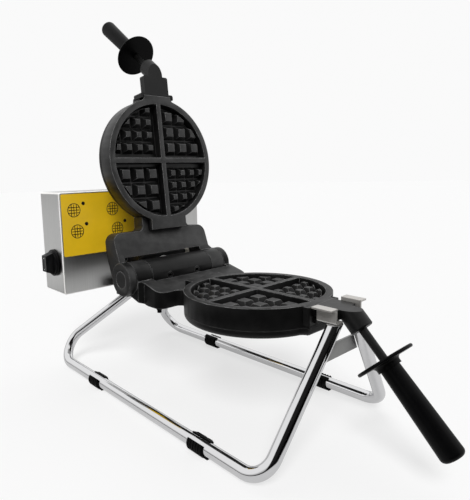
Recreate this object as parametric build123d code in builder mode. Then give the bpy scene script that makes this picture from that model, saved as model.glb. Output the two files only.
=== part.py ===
# Commercial round waffle maker on a bent tube stand.
# Two identical cast irons share one hinge shaft: the lower one lies level in a saddle at the
# front of the stand, and the upper one stands open, leaning a little past upright.
# Millimetres, +Z up, the handles point to -Y and the control box stands at the back.
# Everything is drawn with the hinge shaft above Y = 0 and is moved at the end, so that the
# origin is on the floor under the middle of the whole machine.
import math
import os

from build123d import *

os.makedirs("parts", exist_ok=True)

# Hinge and irons
hinge_height = 172.0        # hinge shaft above the floor
open_angle = 95.7           # from closed to the open stop
face_gap = 0.3              # each rim stays this far from the hinge plane
pan_reach = 175.5           # hinge shaft to the middle of the pan
pan_radius = 97.0
cavity_radius = 88.0        # a 176 mm waffle
cavity_depth = 12.5
cavity_draft = 12.0         # degrees
grid_depth = 26.0           # depth of the grid casting
cover_depth = 10.0          # depth of the cover behind it
cover_edge_radius = 6.0
cover_wall = 5.0
cover_floor = 3.0
divider_width = 9.3         # at its foot
divider_draft = 4.0
divider_hub_radius = 7.0
stud_height = 9.5
stud_draft = 28.0
stud_margin = 2.0           # between the studs and the foot of the cavity wall
stud_sliver = 4.0           # a stud that the margin would cut to less than this is left out
large_stud = (20.5, 24.6, 22.8)         # first centre, pitch, foot width
small_stud = (20.0, 19.6, 17.8)
large_stud_count = 3
small_stud_count = 4

# Rear tab and front neck of the pan
tab_half_width = 34.0
tab_length = 10.5           # from its rear edge to the wall of the pan
tab_depth = 12.0
neck_half_width = 25.5
neck_length = 100.5         # middle of the pan to the end of the neck
joint_gap = 0.2             # between pieces that are bolted together
neck_fillet = 6.0

# Hinge casting
knuckle_radius = 24.5
barrel_half_length = 59.5
inner_knuckle_end = 88.0
outer_knuckle_end = 100.0
knuckle_gap = 0.4           # seam between neighbours along the shaft
casting_narrow_side = 80.0
casting_slot_edge = 31.0    # slot beside the barrel
casting_tab_reach = 1.0     # its shoulders stand this far behind the tab's rear edge
casting_depth = 36.0
casting_top_near = 2.9      # depth of its upper face at the slot
casting_foot_y = 40.0       # where its underside becomes level
casting_neck_half_width = 43.0
casting_corner = 13.0
casting_draft = 2.0         # degrees
casting_side_inset = 1.5    # plate starts this far inside the knuckles' ends
casting_neck_fillet = 9.0
casting_edge = 2.0          # rounding round its underside
stop_screw_x = -66.0
stop_screw_share = 0.42     # of the way from the slot to the shoulders
stop_screw_radius = 4.0
stop_screw_length = 6.0
stop_screw_bite = 11.5
casting_screw_x = 26.0
casting_screw_inset = 6.0   # from the tab's rear edge
casting_screw_radius = 3.0

# Shaft, barrel and the swivel behind it
shaft_radius = 13.0
shaft_chamfer = 1.0
running_clearance = 0.05
shaft_end_inset = 0.3       # its ends lie this far inside the outer knuckles
seat_clearance = 0.3        # between a rotating piece and the face beside it
barrel_back = 21.0          # flat at the back of the barrel
set_screw_x = 27.0
set_screw_radius = 5.0
set_screw_socket = 5.0
set_screw_key = 5.0         # hexagon across flats
swivel_flange_radius = 20.0
swivel_flange_depth = 8.0
swivel_shaft_radius = 10.5
swivel_bolt_x = 15.0
swivel_bolt_radius = 2.5
swivel_bolt_length = 15.0
swivel_bolt_head_radius = 4.0
swivel_bolt_head_depth = 3.0
swivel_thread_radius = 8.0
swivel_nut_width = 24.0     # across flats
swivel_nut_depth = 8.0
washer_radius = 20.0
washer_depth = 2.0
housing_front = 62.0
housing_radius = 30.0
housing_foot_front = 58.0
housing_foot_half_width = 55.0
housing_foot_drop = 45.0    # underside of its foot below the hinge shaft
housing_foot_depth = 19.0
housing_foot_corner = 5.0
housing_flange_radius = 47.0
housing_flange_depth = 8.0
housing_flange_rise = 1.5   # its flat lower edge above the bottom of the box
housing_bolt_circle = 38.5
housing_bolt_angle = 30.0   # from level
housing_bolt_radius = 3.0
housing_bolt_head_width = 10.0
housing_bolt_head_depth = 4.0

# Neck bracket, lug and handle of each iron
bracket_thickness = 3.2
bracket_depth = 21.0
bracket_leg = 4.5            # turned back beside the neck
bracket_neck_gap = 1.8
lug_half_width = 22.5
lug_length = 30.5           # past the end of the neck
lug_depth = 11.5
lug_screw_x = 15.0
lug_screw_radius = 2.5
boss_radius = 13.0
boss_crossing_reach = 32.0  # where the handle line leaves the hinge plane, past the end of the neck
handle_angle = 47.0
boss_length = 28.0
rod_radius = 4.75
guard_distance = 64.0       # along the handle line
guard_radius = 32.5
guard_depth = 3.6
guard_collar_radius = 13.5
guard_collar_depth = 7.0
guard_collar_fillet = 4.0
grip_end = 171.0
grip_thin_radius = 11.0
grip_thick_radius = 13.0
grip_rounding = 5.0
grip_socket = 70.0          # rod length inside guard and grip

# Small screws of an iron
casting_head_radius = 4.8
casting_head_depth = 3.2
casting_screw_bite = 6.0    # into the rear tab
neck_screw_x = 17.0
neck_screw_drop = 16.6      # below the hinge plane
neck_screw_radius = 2.5
neck_screw_length = 12.0
neck_head_radius = 4.2
neck_head_depth = 3.5
lug_screw_drop = 6.0
lug_screw_length = 12.0
cover_screw_circle = 78.0
cover_screw_radius = 2.5
cover_head_radius = 4.5
cover_head_depth = 2.5
cover_screw_bite = 4.0

# Heating inside each iron
element_ring_radius = 60.0
element_radius = 3.3
probe_radius = 3.0
probe_length = 70.0

# Stand
tube_radius = 8.0
tube_wall = 1.5
rail_height = 10.5
loop_lean = 34.4            # degrees, each loop leans inwards
bend_radius = 30.0
front_leg_angle = 5.3       # degrees past square
rear_leg_angle = 46.4       # degrees between rail and rear leg
saddle_inner_half = 23.5    # inside of the rest plates
front_leg_top = 20.87        # a front leg's centre line from the middle, under the saddle
rear_leg_top = 73.3         # a rear leg's centre line behind the hinge, under the housing
saddle_overhang = 4.5       # saddle in front of the lugs
saddle_length = 25.0
saddle_height = 18.0
seat_gap = 0.3              # an iron's lug above the saddle's foot flanges
saddle_plate = 2.0
saddle_top_flange = 10.0
saddle_foot_flange = 10.5
crossbar_drop = 55.0        # below the hinge shaft
crossbar_width = 20.0
crossbar_thickness = 3.0
clip_radius = 11.0
clip_groove_radius = 10.2
clip_length = 24.0
clip_ribs = 6
clip_rib = 2.0
clip_mouth = 96.0           # degrees left open at the top
clip_lip_rise = 11.5        # top of the inner lip above the middle of the rail
clip_lip_thickness = 2.0
clip_lip_overlap = 3.5      # the lip is this much longer at each end
clip_pad_half_width = 4.5
clip_pad_depth = 2.3
clip_pad_toe = 5.0          # pad in front of the ribs
clip_pad_heel = 2.0
clip_front_inset = 96.5     # from the corner of the front bend
clip_rear_place = 45.0

# Control box
box_front = 102.0
box_drop = 33.0             # its bottom below the hinge shaft
box_half_width = 141.5
box_depth = 67.0
box_height = 162.0
sheet = 1.2
box_corner = 4.0
box_flange = 12.0           # turned in behind the box to carry its back plate
back_inset = 0.6            # back plate inside the outline of the box
back_screw_radius = 2.0
back_screw_length = 8.0
back_head_radius = 3.8
back_head_depth = 2.2
vent_count = 7
vent_pitch = 12.0
vent_length = 70.0
vent_width = 4.0
knob_place_y = 132.0
knob_rise = 16.0            # above the hinge shaft
knob_radius = 21.5
knob_depth = 17.0
knob_skirt = 3.2
knob_skirt_edge = 1.0
knob_step_radius = 18.5
knob_step = 2.4             # proud of the skirt
knob_bar_width = 17.0
knob_bar_reach = 17.6       # from the axis to each end
knob_bar_taper = 5.0        # the bar's ends lean in by this much
knob_bar_edge = 1.6
knob_bore_depth = 12.0
knob_gap = 0.8
spindle_radius = 3.0
spindle_bite = 10.0         # into the heat control
control_size = (34.0, 44.0, 44.0)
terminal_size = (74.0, 20.0, 18.0)
terminal_place_x = -60.0
terminal_rise = 90.0        # above the hinge shaft
terminal_poles = 6
gland_radius = 11.0
gland_bore = 5.0
gland_length = 16.0
gland_nut_depth = 5.0
gland_place_x = 95.0
gland_height = 28.0         # above the floor of the box

# Wiring behind the barrel
sleeve_radius = 4.5
sleeve_place_y = 55.0
sleeve_rise = 16.8          # above the hinge shaft
sleeve_drop = 6.0           # its end at the barrel is this far below the shaft
sleeve_left = -27.5
sleeve_right = 88.0
sleeve_bend = 11.0
band_place = 65.0
band_length = 9.0
band_radius = 5.2
barrel_gland_radius = 6.0
barrel_gland_depth = 6.0
grommet_radius = 8.0
grommet_depth = 3.0


def save(piece, node, place=Location()):
    """Keep a finished piece under its node name."""
    placed = place * piece
    placed.label = node
    pieces[node] = placed


pieces = {}

# One iron, drawn level: hinge shaft on the X axis, pan towards -Y, cooking face up
neck_end = pan_reach + neck_length
lug_end = neck_end + lug_length
boss_crossing = neck_end + boss_crossing_reach
tab_start = pan_reach - pan_radius - tab_length
casting_front = tab_start - casting_tab_reach
casting_screw_reach = tab_start + casting_screw_inset
stop_screw_y = -casting_slot_edge - stop_screw_share * (casting_front - casting_slot_edge)
cavity_foot_radius = cavity_radius - cavity_depth * math.tan(math.radians(cavity_draft))
stud_circle = cavity_foot_radius - stud_margin
floor_level = -face_gap - cavity_depth
grid_back = -face_gap - grid_depth
iron_back = grid_back - cover_depth
tab_underside = -face_gap - tab_depth


def stud_places(first, pitch, foot, count, sign_x, sign_y):
    """Centres of one quadrant's studs whose inner corner is well inside the cavity."""
    places = []
    for column in range(count):
        for row in range(count):
            across, along = first + pitch * column, first + pitch * row
            if math.hypot(across - foot / 2, along - foot / 2) < stud_circle - stud_sliver:
                places.append((sign_x * across, -pan_reach + sign_y * along))
    return places


# Round pan with the short neck that carries the handle
with BuildSketch() as pan_outline:
    with Locations((0, -pan_reach)):
        Circle(pan_radius)
    with Locations((0, -(pan_reach + neck_end) / 2)):
        Rectangle(2 * neck_half_width, neck_end - pan_reach)
    neck_root = -pan_reach - math.sqrt(pan_radius**2 - neck_half_width**2)
    fillet(
        pan_outline.vertices().filter_by_position(Axis.Y, neck_root - 0.1, neck_root + 0.1),
        neck_fillet,
    )


with BuildPart() as studs:
    for first, pitch, foot, count, quadrants in (
        (*large_stud, large_stud_count, ((-1, -1), (1, 1))),
        (*small_stud, small_stud_count, ((-1, 1), (1, -1))),
    ):
        for sign_x, sign_y in quadrants:
            with BuildSketch(Plane.XY.offset(floor_level)):
                with Locations(*stud_places(first, pitch, foot, count, sign_x, sign_y)):
                    Rectangle(foot, foot)
            extrude(amount=stud_height, taper=stud_draft)
    with BuildSketch(Plane.XY.offset(floor_level)):
        with Locations((0, -pan_reach)):
            Circle(stud_circle)
    extrude(amount=stud_height, mode=Mode.INTERSECT)

with BuildPart() as grid:
    with BuildSketch(Plane.XY.offset(-face_gap)):
        add(pan_outline.sketch)
    extrude(amount=-grid_depth)
    with BuildSketch(Plane.XY.offset(-face_gap)):
        with Locations((0, -(pan_reach + tab_start) / 2)):
            Rectangle(2 * tab_half_width, pan_reach - tab_start)
    extrude(amount=-tab_depth)
    with BuildSketch(Plane.XY.offset(-face_gap)):
        with Locations((0, -pan_reach)):
            Circle(cavity_radius)
    extrude(amount=-cavity_depth, taper=cavity_draft, mode=Mode.SUBTRACT)
    with BuildSketch(Plane.XY.offset(floor_level)):
        with Locations((0, -pan_reach)):
            Rectangle(2 * cavity_radius + 6, divider_width)
            Rectangle(divider_width, 2 * cavity_radius + 6)
            Circle(divider_hub_radius)
    extrude(amount=cavity_depth, taper=divider_draft)
    add(studs.part)
    with Locations(*[(x, -casting_screw_reach, tab_underside) for x in (-casting_screw_x, casting_screw_x)]):
        Cylinder(casting_screw_radius + running_clearance, 2 * casting_screw_bite + 2, mode=Mode.SUBTRACT)
    with Locations(Location((0, -pan_reach, grid_back))):
        with PolarLocations(cover_screw_circle, 4, start_angle=45):
            Cylinder(cover_screw_radius + running_clearance, 2 * cover_screw_bite + 1, mode=Mode.SUBTRACT)
    with Locations(*[Location((x, -neck_end, -neck_screw_drop), (90, 0, 0)) for x in (-neck_screw_x, neck_screw_x)]):
        Cylinder(neck_screw_radius + running_clearance, 2 * neck_screw_length, mode=Mode.SUBTRACT)
    with Locations(*[Location((x, -neck_end, -lug_screw_drop), (90, 0, 0)) for x in (-lug_screw_x, lug_screw_x)]):
        Cylinder(lug_screw_radius + 0.5, 2.0, mode=Mode.SUBTRACT)

with BuildPart() as cover:
    with BuildSketch(Plane.XY.offset(grid_back - joint_gap)):
        add(pan_outline.sketch)
    extrude(amount=-(cover_depth - joint_gap))
    fillet(cover.faces().sort_by(Axis.Z)[0].outer_wire().edges(), cover_edge_radius)
    with BuildSketch(Plane.XY.offset(grid_back - joint_gap)):
        with Locations((0, -pan_reach)):
            Circle(pan_radius - cover_wall)
    extrude(amount=-(cover_depth - joint_gap - cover_floor), mode=Mode.SUBTRACT)
    with Locations(Location((0, -pan_reach, iron_back))):
        with PolarLocations(cover_screw_circle, 4, start_angle=45):
            Cylinder(cover_screw_radius + running_clearance, 3 * cover_floor, mode=Mode.SUBTRACT)


def roller(start, end, radius, edge):
    """Cylinder about the X axis with chamfered ends."""
    with BuildPart() as turned:
        with BuildSketch(Plane.XY):
            with BuildLine():
                Polyline(
                    (start, 0), (start, radius - edge), (start + edge, radius),
                    (end - edge, radius), (end, radius - edge), (end, 0), close=True,
                )
            make_face()
        revolve(axis=Axis.X)
    return turned.part


# Hinge casting: a deep plate with one inner and one outer knuckle, reaching under the rear tab
casting_top_far = tab_underside - joint_gap
knuckle_spans = (
    (-inner_knuckle_end + knuckle_gap / 2, -barrel_half_length - knuckle_gap),
    (inner_knuckle_end + knuckle_gap / 2, outer_knuckle_end),
)
narrow_edge = -inner_knuckle_end + casting_side_inset
wide_edge = outer_knuckle_end - casting_side_inset
knuckle_edge = 0.8
bore_radius = shaft_radius + running_clearance
knuckles = [roller(start, end, knuckle_radius, knuckle_edge) for start, end in knuckle_spans]

with BuildPart() as casting:
    with BuildSketch() as plate_outline:
        with BuildLine():
            Polyline(
                (narrow_edge, 0), (narrow_edge, -knuckle_radius),
                (-casting_narrow_side, -casting_slot_edge),
                (-casting_narrow_side, -casting_front),
                (-casting_neck_half_width, -casting_front),
                (-casting_neck_half_width, -pan_reach + pan_radius / 2),
                (casting_neck_half_width, -pan_reach + pan_radius / 2),
                (casting_neck_half_width, -casting_front),
                (wide_edge, -casting_front), (wide_edge, 0), close=True,
            )
        make_face()
        front_line = -casting_front - 0.1, -casting_front + 0.1
        corners = plate_outline.vertices().filter_by_position(Axis.Y, *front_line).sort_by(Axis.X)
        fillet([corners[0], corners[3]], casting_corner)
        corners = plate_outline.vertices().filter_by_position(
            Axis.X, -casting_neck_half_width - 0.1, casting_neck_half_width + 0.1
        ).filter_by_position(Axis.Y, *front_line)
        fillet(corners, casting_neck_fillet)
    extrude(amount=-casting_depth, taper=-casting_draft)
    # side profile: the upper face slopes down from the knuckles, the underside rises to them
    with BuildSketch(Plane.YZ):
        with BuildLine():
            Polyline(
                (0, -face_gap - 0.8), (-knuckle_radius, -face_gap - 0.8),
                (-casting_front, casting_top_far), (-pan_reach, casting_top_far),
                (-pan_reach, -casting_depth), (-casting_foot_y, -casting_depth),
                (0, -knuckle_radius), close=True,
            )
        make_face()
    extrude(amount=outer_knuckle_end + 10, both=True, mode=Mode.INTERSECT)
    # seat for the wall of the pan
    with BuildSketch():
        with Locations((0, -pan_reach)):
            Circle(pan_radius + joint_gap)
    extrude(amount=-casting_depth - 1, mode=Mode.SUBTRACT)
    # slot that the barrel and the other casting's inner knuckle turn in
    with BuildSketch():
        with Locations((-barrel_half_length - knuckle_gap, 5)):
            Rectangle(
                barrel_half_length + inner_knuckle_end + 2 * knuckle_gap,
                casting_slot_edge + 5, align=(Align.MIN, Align.MAX),
            )
    extrude(amount=-casting_depth - 1, mode=Mode.SUBTRACT)
    add(knuckles)
    with Locations(Location((0, 0, 0), (0, 90, 0))):
        Cylinder(bore_radius, 2 * outer_knuckle_end + 2, mode=Mode.SUBTRACT)
    with Locations(*[(x, -casting_screw_reach, tab_underside) for x in (-casting_screw_x, casting_screw_x)]):
        Cylinder(
            casting_screw_radius + running_clearance, 3 * casting_depth,
            mode=Mode.SUBTRACT,
        )
    fillet(casting.faces().sort_by(Axis.Z)[0].outer_wire().edges(), casting_edge)
    with Locations((stop_screw_x, stop_screw_y, -casting_depth)):
        Cylinder(stop_screw_radius / 2 + running_clearance, 2 * (stop_screw_bite + joint_gap), mode=Mode.SUBTRACT)

with BuildPart() as casting_screws:
    for x in (-casting_screw_x, casting_screw_x):
        with Locations((x, -casting_screw_reach, -casting_depth)):
            Cylinder(casting_head_radius, casting_head_depth, align=(Align.CENTER, Align.CENTER, Align.MAX))
            Cylinder(casting_screw_radius, casting_depth - tab_depth + casting_screw_bite, align=(Align.CENTER, Align.CENTER, Align.MIN))
    with Locations((stop_screw_x, stop_screw_y, -casting_depth)):
        Cylinder(stop_screw_radius, stop_screw_length, align=(Align.CENTER, Align.CENTER, Align.MAX))
        Cylinder(stop_screw_radius / 2, stop_screw_bite, align=(Align.CENTER, Align.CENTER, Align.MIN))

# Bracket across the neck, a channel whose ends turn back beside it
bracket_inner_half = neck_half_width + bracket_neck_gap
bracket_outer_half = bracket_inner_half + bracket_thickness
bracket_back = -neck_end - joint_gap
bracket_front = bracket_back - bracket_thickness
with BuildPart() as bracket:
    with BuildSketch(Plane.XY.offset(-face_gap)) as channel:
        with Locations((0, bracket_front)):
            Rectangle(
                2 * bracket_outer_half, bracket_thickness + bracket_leg, align=(Align.CENTER, Align.MIN)
            )
        fillet(channel.vertices().group_by(Axis.Y)[0], bracket_thickness * 0.8)
        with Locations((0, bracket_back)):
            Rectangle(
                2 * bracket_inner_half, bracket_leg + 1, align=(Align.CENTER, Align.MIN), mode=Mode.SUBTRACT
            )
    extrude(amount=-bracket_depth)
    with Locations(*[Location((x, bracket_back, -lug_screw_drop), (90, 0, 0)) for x in (-lug_screw_x, lug_screw_x)]):
        Cylinder(lug_screw_radius + running_clearance, 3 * bracket_thickness, mode=Mode.SUBTRACT)
    with Locations(*[Location((x, bracket_back, -neck_screw_drop), (90, 0, 0)) for x in (-neck_screw_x, neck_screw_x)]):
        Cylinder(neck_screw_radius + running_clearance, 3 * bracket_thickness, mode=Mode.SUBTRACT)

# Lug: a flat block with a round boss on the line of the handle, trimmed level with the rim
toward_grip = Vector(0, -math.cos(math.radians(handle_angle)), -math.sin(math.radians(handle_angle)))
handle_plane = Plane(origin=(0, -boss_crossing, 0), x_dir=(1, 0, 0), z_dir=toward_grip)
boss_root = 20.0            # the boss starts this far behind the crossing, inside the block
rod_start = boss_length - 16.0
with BuildPart() as lug:
    with BuildSketch(handle_plane.offset(-boss_root)):
        Circle(boss_radius)
    extrude(amount=boss_root + boss_length)
    chamfer(lug.edges().sort_by(Axis.Z)[0], 1.2)
    with Locations((0, bracket_front, -face_gap)):
        Box(
            4 * lug_half_width, 4 * lug_half_width, 4 * lug_half_width,
            align=(Align.CENTER, Align.MIN, Align.CENTER), mode=Mode.SUBTRACT,
        )
        Box(
            4 * lug_half_width, 6 * lug_half_width, 4 * lug_half_width,
            align=(Align.CENTER, Align.CENTER, Align.MIN), mode=Mode.SUBTRACT,
        )
    with BuildSketch(Plane.XY.offset(-face_gap)) as block:
        with Locations((0, bracket_front)):
            Rectangle(2 * lug_half_width, lug_end + bracket_front, align=(Align.CENTER, Align.MAX))
        fillet(block.vertices().group_by(Axis.Y)[0], 3.0)
    extrude(amount=-lug_depth)
    with BuildSketch(handle_plane.offset(rod_start)):
        Circle(rod_radius + running_clearance)
    extrude(amount=boss_length, mode=Mode.SUBTRACT)
    with Locations(*[Location((x, bracket_front, -lug_screw_drop), (90, 0, 0)) for x in (-lug_screw_x, lug_screw_x)]):
        Cylinder(lug_screw_radius + running_clearance, 2 * (lug_screw_length - bracket_thickness) + 1, mode=Mode.SUBTRACT)

# Screws of the neck: two hold the bracket to the pan, two hold the lug to the bracket
facing_grip = (90, 0, 0)
with BuildPart() as neck_screws:
    for x in (-neck_screw_x, neck_screw_x):
        with Locations(Location((x, bracket_front, -neck_screw_drop), facing_grip)):
            Cylinder(neck_head_radius, neck_head_depth, align=(Align.CENTER, Align.CENTER, Align.MIN))
            Cylinder(neck_screw_radius, neck_screw_length, align=(Align.CENTER, Align.CENTER, Align.MAX))
with BuildPart() as lug_screws:
    for x in (-lug_screw_x, lug_screw_x):
        with Locations(Location((x, bracket_back, -lug_screw_drop), facing_grip)):
            Cylinder(lug_screw_radius, lug_screw_length, align=(Align.CENTER, Align.CENTER, Align.MIN))

# Handle rod, hand guard and grip, turned about the handle line
guard_back = guard_distance + guard_depth
grip_start = guard_back + guard_collar_depth
rod_end = guard_distance + grip_socket
with BuildPart() as rod:
    with BuildSketch(handle_plane.offset(rod_start + joint_gap)):
        Circle(rod_radius)
    extrude(amount=rod_end - rod_start - joint_gap)

handle_section = Plane(origin=handle_plane.origin, x_dir=(1, 0, 0), z_dir=handle_plane.y_dir)
handle_axis = Axis(handle_plane.origin, toward_grip)
along = -1 if handle_section.to_local_coords(handle_plane.origin + toward_grip).Y < 0 else 1
with BuildPart() as guard:
    with BuildSketch(handle_section) as guard_section:
        with BuildLine():
            Polyline(
                (rod_radius + running_clearance, along * guard_distance),
                (guard_radius, along * guard_distance), (guard_radius, along * guard_back),
                (guard_collar_radius, along * guard_back), (guard_collar_radius, along * grip_start),
                (rod_radius + running_clearance, along * grip_start), close=True,
            )
        make_face()
        fillet(guard_section.vertices().group_by(Axis.X)[-1], guard_depth * 0.45)
        collar_corners = guard_section.vertices().filter_by_position(
            Axis.X, guard_collar_radius - 0.1, guard_collar_radius + 0.1
        ).sort_by(Axis((0, 0, 0), toward_grip))
        fillet(collar_corners[0], guard_collar_fillet)
        fillet(collar_corners[-1], guard_collar_fillet / 2)
    revolve(axis=handle_axis)
with BuildPart() as grip:
    with BuildSketch(handle_section) as grip_section:
        with BuildLine():
            Polyline(
                (0, along * (rod_end + joint_gap)), (rod_radius + running_clearance, along * (rod_end + joint_gap)),
                (rod_radius + running_clearance, along * grip_start), (grip_thin_radius, along * grip_start),
                (grip_thick_radius, along * grip_end), (0, along * grip_end), close=True,
            )
        make_face()
        fillet(grip_section.vertices().sort_by(Axis.X)[-1], grip_rounding)
    revolve(axis=handle_axis)

# Heater and sensor between grid and cover
heater_level = grid_back - joint_gap - element_radius
with BuildPart() as heater:
    with Locations((0, -pan_reach, heater_level)):
        Torus(element_ring_radius, element_radius)
with BuildPart() as sensor:
    with Locations(Location((0, -pan_reach, grid_back - joint_gap - probe_radius), (0, 90, 0))):
        Cylinder(probe_radius, probe_length)

# Screws that hold the cover
with BuildPart() as cover_screws:
    with Locations(Location((0, -pan_reach, iron_back))):
        with PolarLocations(cover_screw_circle, 4, start_angle=45):
            Cylinder(cover_head_radius, cover_head_depth, align=(Align.CENTER, Align.CENTER, Align.MAX))
            Cylinder(
                cover_screw_radius, cover_depth + cover_screw_bite,
                align=(Align.CENTER, Align.CENTER, Align.MIN),
            )

# The two irons: the upper one is the lower one turned over and opened
lower_place = Pos(0, 0, hinge_height)
upper_place = Pos(0, 0, hinge_height) * Rot(-open_angle, 0, 0) * Rot(0, 180, 0)
iron_pieces = {
    "grid": grid, "cover": cover, "hinge_casting": casting, "casting_screws": casting_screws,
    "neck_bracket": bracket, "neck_screws": neck_screws, "handle_lug": lug, "lug_screws": lug_screws,
    "handle_rod": rod, "hand_guard": guard, "grip": grip, "heater": heater, "sensor": sensor,
    "cover_screws": cover_screws,
}
for side, place in (("lower", lower_place), ("upper", upper_place)):
    for name, piece in iron_pieces.items():
        save(piece.part, f"{side}_{name}", place)

# Levels that hang from the hinge shaft
box_bottom = hinge_height - box_drop
housing_foot_bottom = hinge_height - housing_foot_drop
housing_foot_top = housing_foot_bottom + housing_foot_depth
crossbar_height = hinge_height - crossbar_drop
knob_height = hinge_height + knob_rise
terminal_height = hinge_height + terminal_rise

# Shaft and the barrel that carries both castings
with BuildPart() as hinge_shaft:
    with Locations(Location((0, 0, hinge_height), (0, 90, 0))):
        Cylinder(shaft_radius, 2 * (outer_knuckle_end - shaft_end_inset))
    chamfer(hinge_shaft.edges().filter_by(GeomType.CIRCLE), shaft_chamfer)
save(hinge_shaft.part, "hinge_shaft")

barrel_blank = roller(-barrel_half_length, barrel_half_length, knuckle_radius, knuckle_edge)
screw_places = [
    Location((x, 0, 0), facing_grip) for x in (-set_screw_x, set_screw_x)
]
bolt_places = [
    Location((x, barrel_back, 0), facing_grip) for x in (-swivel_bolt_x, swivel_bolt_x)
]
gland_place = Location((sleeve_left, barrel_back, -sleeve_drop), facing_grip)
with BuildPart() as hinge_barrel:
    add(barrel_blank)
    split(bisect_by=Plane.XZ.offset(-barrel_back), keep=Keep.TOP)
    with Locations(Location((0, 0, 0), (0, 90, 0))):
        Cylinder(bore_radius, 2 * barrel_half_length + 2, mode=Mode.SUBTRACT)
    with Locations(*screw_places):
        Cylinder(
            set_screw_radius + running_clearance, knuckle_radius + 1,
            align=(Align.CENTER, Align.CENTER, Align.MIN), mode=Mode.SUBTRACT,
        )
    with Locations(*bolt_places):
        Cylinder(
            swivel_bolt_radius + running_clearance, 2 * (swivel_bolt_length - swivel_flange_depth) + 1,
            mode=Mode.SUBTRACT,
        )
    with Locations(gland_place):
        Cylinder(sleeve_radius + running_clearance, 2 * barrel_gland_depth, mode=Mode.SUBTRACT)
save(hinge_barrel.part, "hinge_barrel", lower_place)

with BuildPart() as barrel_set_screws:
    for x in (-set_screw_x, set_screw_x):
        with BuildSketch(Plane.XZ.offset(shaft_radius + joint_gap)):
            with Locations((x, 0)):
                Circle(set_screw_radius)
        extrude(amount=knuckle_radius - shaft_radius - 4 * joint_gap)
        with BuildSketch(Plane.XZ.offset(knuckle_radius)):
            with Locations((x, 0)):
                RegularPolygon(set_screw_key / 2, 6, major_radius=False)
        extrude(amount=-set_screw_socket, mode=Mode.SUBTRACT)
save(barrel_set_screws.part, "barrel_set_screws", lower_place)

# Swivel shaft: its flange is bolted behind the barrel, and it turns in the pivot housing
box_inside_front = box_front + sheet
flange_front = barrel_back + joint_gap
flange_back = flange_front + swivel_flange_depth
swivel_nut_front = box_inside_front + seat_clearance
with BuildPart() as swivel_shaft:
    with BuildSketch(Plane.YZ):
        with BuildLine():
            Polyline(
                (flange_front, 0), (flange_front, swivel_flange_radius),
                (flange_back, swivel_flange_radius), (flange_back, swivel_shaft_radius),
                (box_front - joint_gap, swivel_shaft_radius),
                (box_front - joint_gap, swivel_thread_radius),
                (swivel_nut_front + 1.5 * swivel_nut_depth, swivel_thread_radius),
                (swivel_nut_front + 1.5 * swivel_nut_depth, 0), close=True,
            )
        make_face()
    revolve(axis=Axis.Y)
    with Locations(*bolt_places):
        Cylinder(swivel_bolt_radius + running_clearance, 3 * swivel_flange_depth, mode=Mode.SUBTRACT)
save(swivel_shaft.part, "swivel_shaft", lower_place)

with BuildPart() as swivel_bolts:
    with BuildSketch(Plane.XZ.offset(-flange_back)):
        with Locations((-swivel_bolt_x, 0), (swivel_bolt_x, 0)):
            RegularPolygon(swivel_bolt_head_radius, 6)
    extrude(amount=-swivel_bolt_head_depth)
    with BuildSketch(Plane.XZ.offset(-flange_back)):
        with Locations((-swivel_bolt_x, 0), (swivel_bolt_x, 0)):
            Circle(swivel_bolt_radius)
    extrude(amount=swivel_bolt_length)
save(swivel_bolts.part, "swivel_bolts", lower_place)

with BuildPart() as swivel_nut:
    with BuildSketch(Plane.XZ.offset(-swivel_nut_front)):
        RegularPolygon(swivel_nut_width / 2, 6, major_radius=False)
        Circle(swivel_thread_radius + running_clearance, mode=Mode.SUBTRACT)
    extrude(amount=-swivel_nut_depth)
save(swivel_nut.part, "swivel_nut", lower_place)

with BuildPart() as thrust_washer:
    with BuildSketch(Plane.XZ.offset(-housing_front + joint_gap)):
        Circle(washer_radius)
        Circle(swivel_shaft_radius + running_clearance, mode=Mode.SUBTRACT)
    extrude(amount=washer_depth - joint_gap)
save(thrust_washer.part, "thrust_washer", lower_place)

# Pivot housing, bolted through the front of the control box, on a foot that caps the rear legs
housing_flange_front = box_front - joint_gap - housing_flange_depth
bolt_centres = [
    (side * housing_bolt_circle * math.cos(math.radians(housing_bolt_angle)),
     hinge_height + level * housing_bolt_circle * math.sin(math.radians(housing_bolt_angle)))
    for side in (-1, 1) for level in (-1, 1)
]
with BuildPart() as pivot_housing:
    with BuildSketch(Plane.XZ.offset(-housing_front)):
        with Locations((0, hinge_height)):
            Circle(housing_radius)
    extrude(amount=housing_front - housing_flange_front)
    with BuildSketch(Plane.XY.offset(housing_foot_bottom)) as foot_outline:
        with Locations((0, housing_foot_front)):
            Rectangle(
                2 * housing_foot_half_width, housing_flange_front - housing_foot_front,
                align=(Align.CENTER, Align.MIN),
            )
        fillet(foot_outline.vertices(), housing_foot_corner)
    extrude(amount=housing_foot_top - housing_foot_bottom)
    with BuildSketch(Plane.XZ.offset(-housing_flange_front)):
        with Locations((0, hinge_height)):
            Circle(housing_flange_radius)
        with Locations((0, box_bottom + housing_flange_rise)):
            Rectangle(
                3 * housing_flange_radius, housing_flange_radius,
                align=(Align.CENTER, Align.MAX), mode=Mode.SUBTRACT,
            )
        with Locations(*bolt_centres):
            Circle(housing_bolt_radius + running_clearance, mode=Mode.SUBTRACT)
    extrude(amount=-housing_flange_depth)
    with BuildSketch(Plane.XZ.offset(-housing_front + 5)):
        with Locations((0, hinge_height)):
            Circle(swivel_shaft_radius + running_clearance)
    extrude(amount=-box_depth, mode=Mode.SUBTRACT)
save(pivot_housing.part, "pivot_housing")

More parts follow.
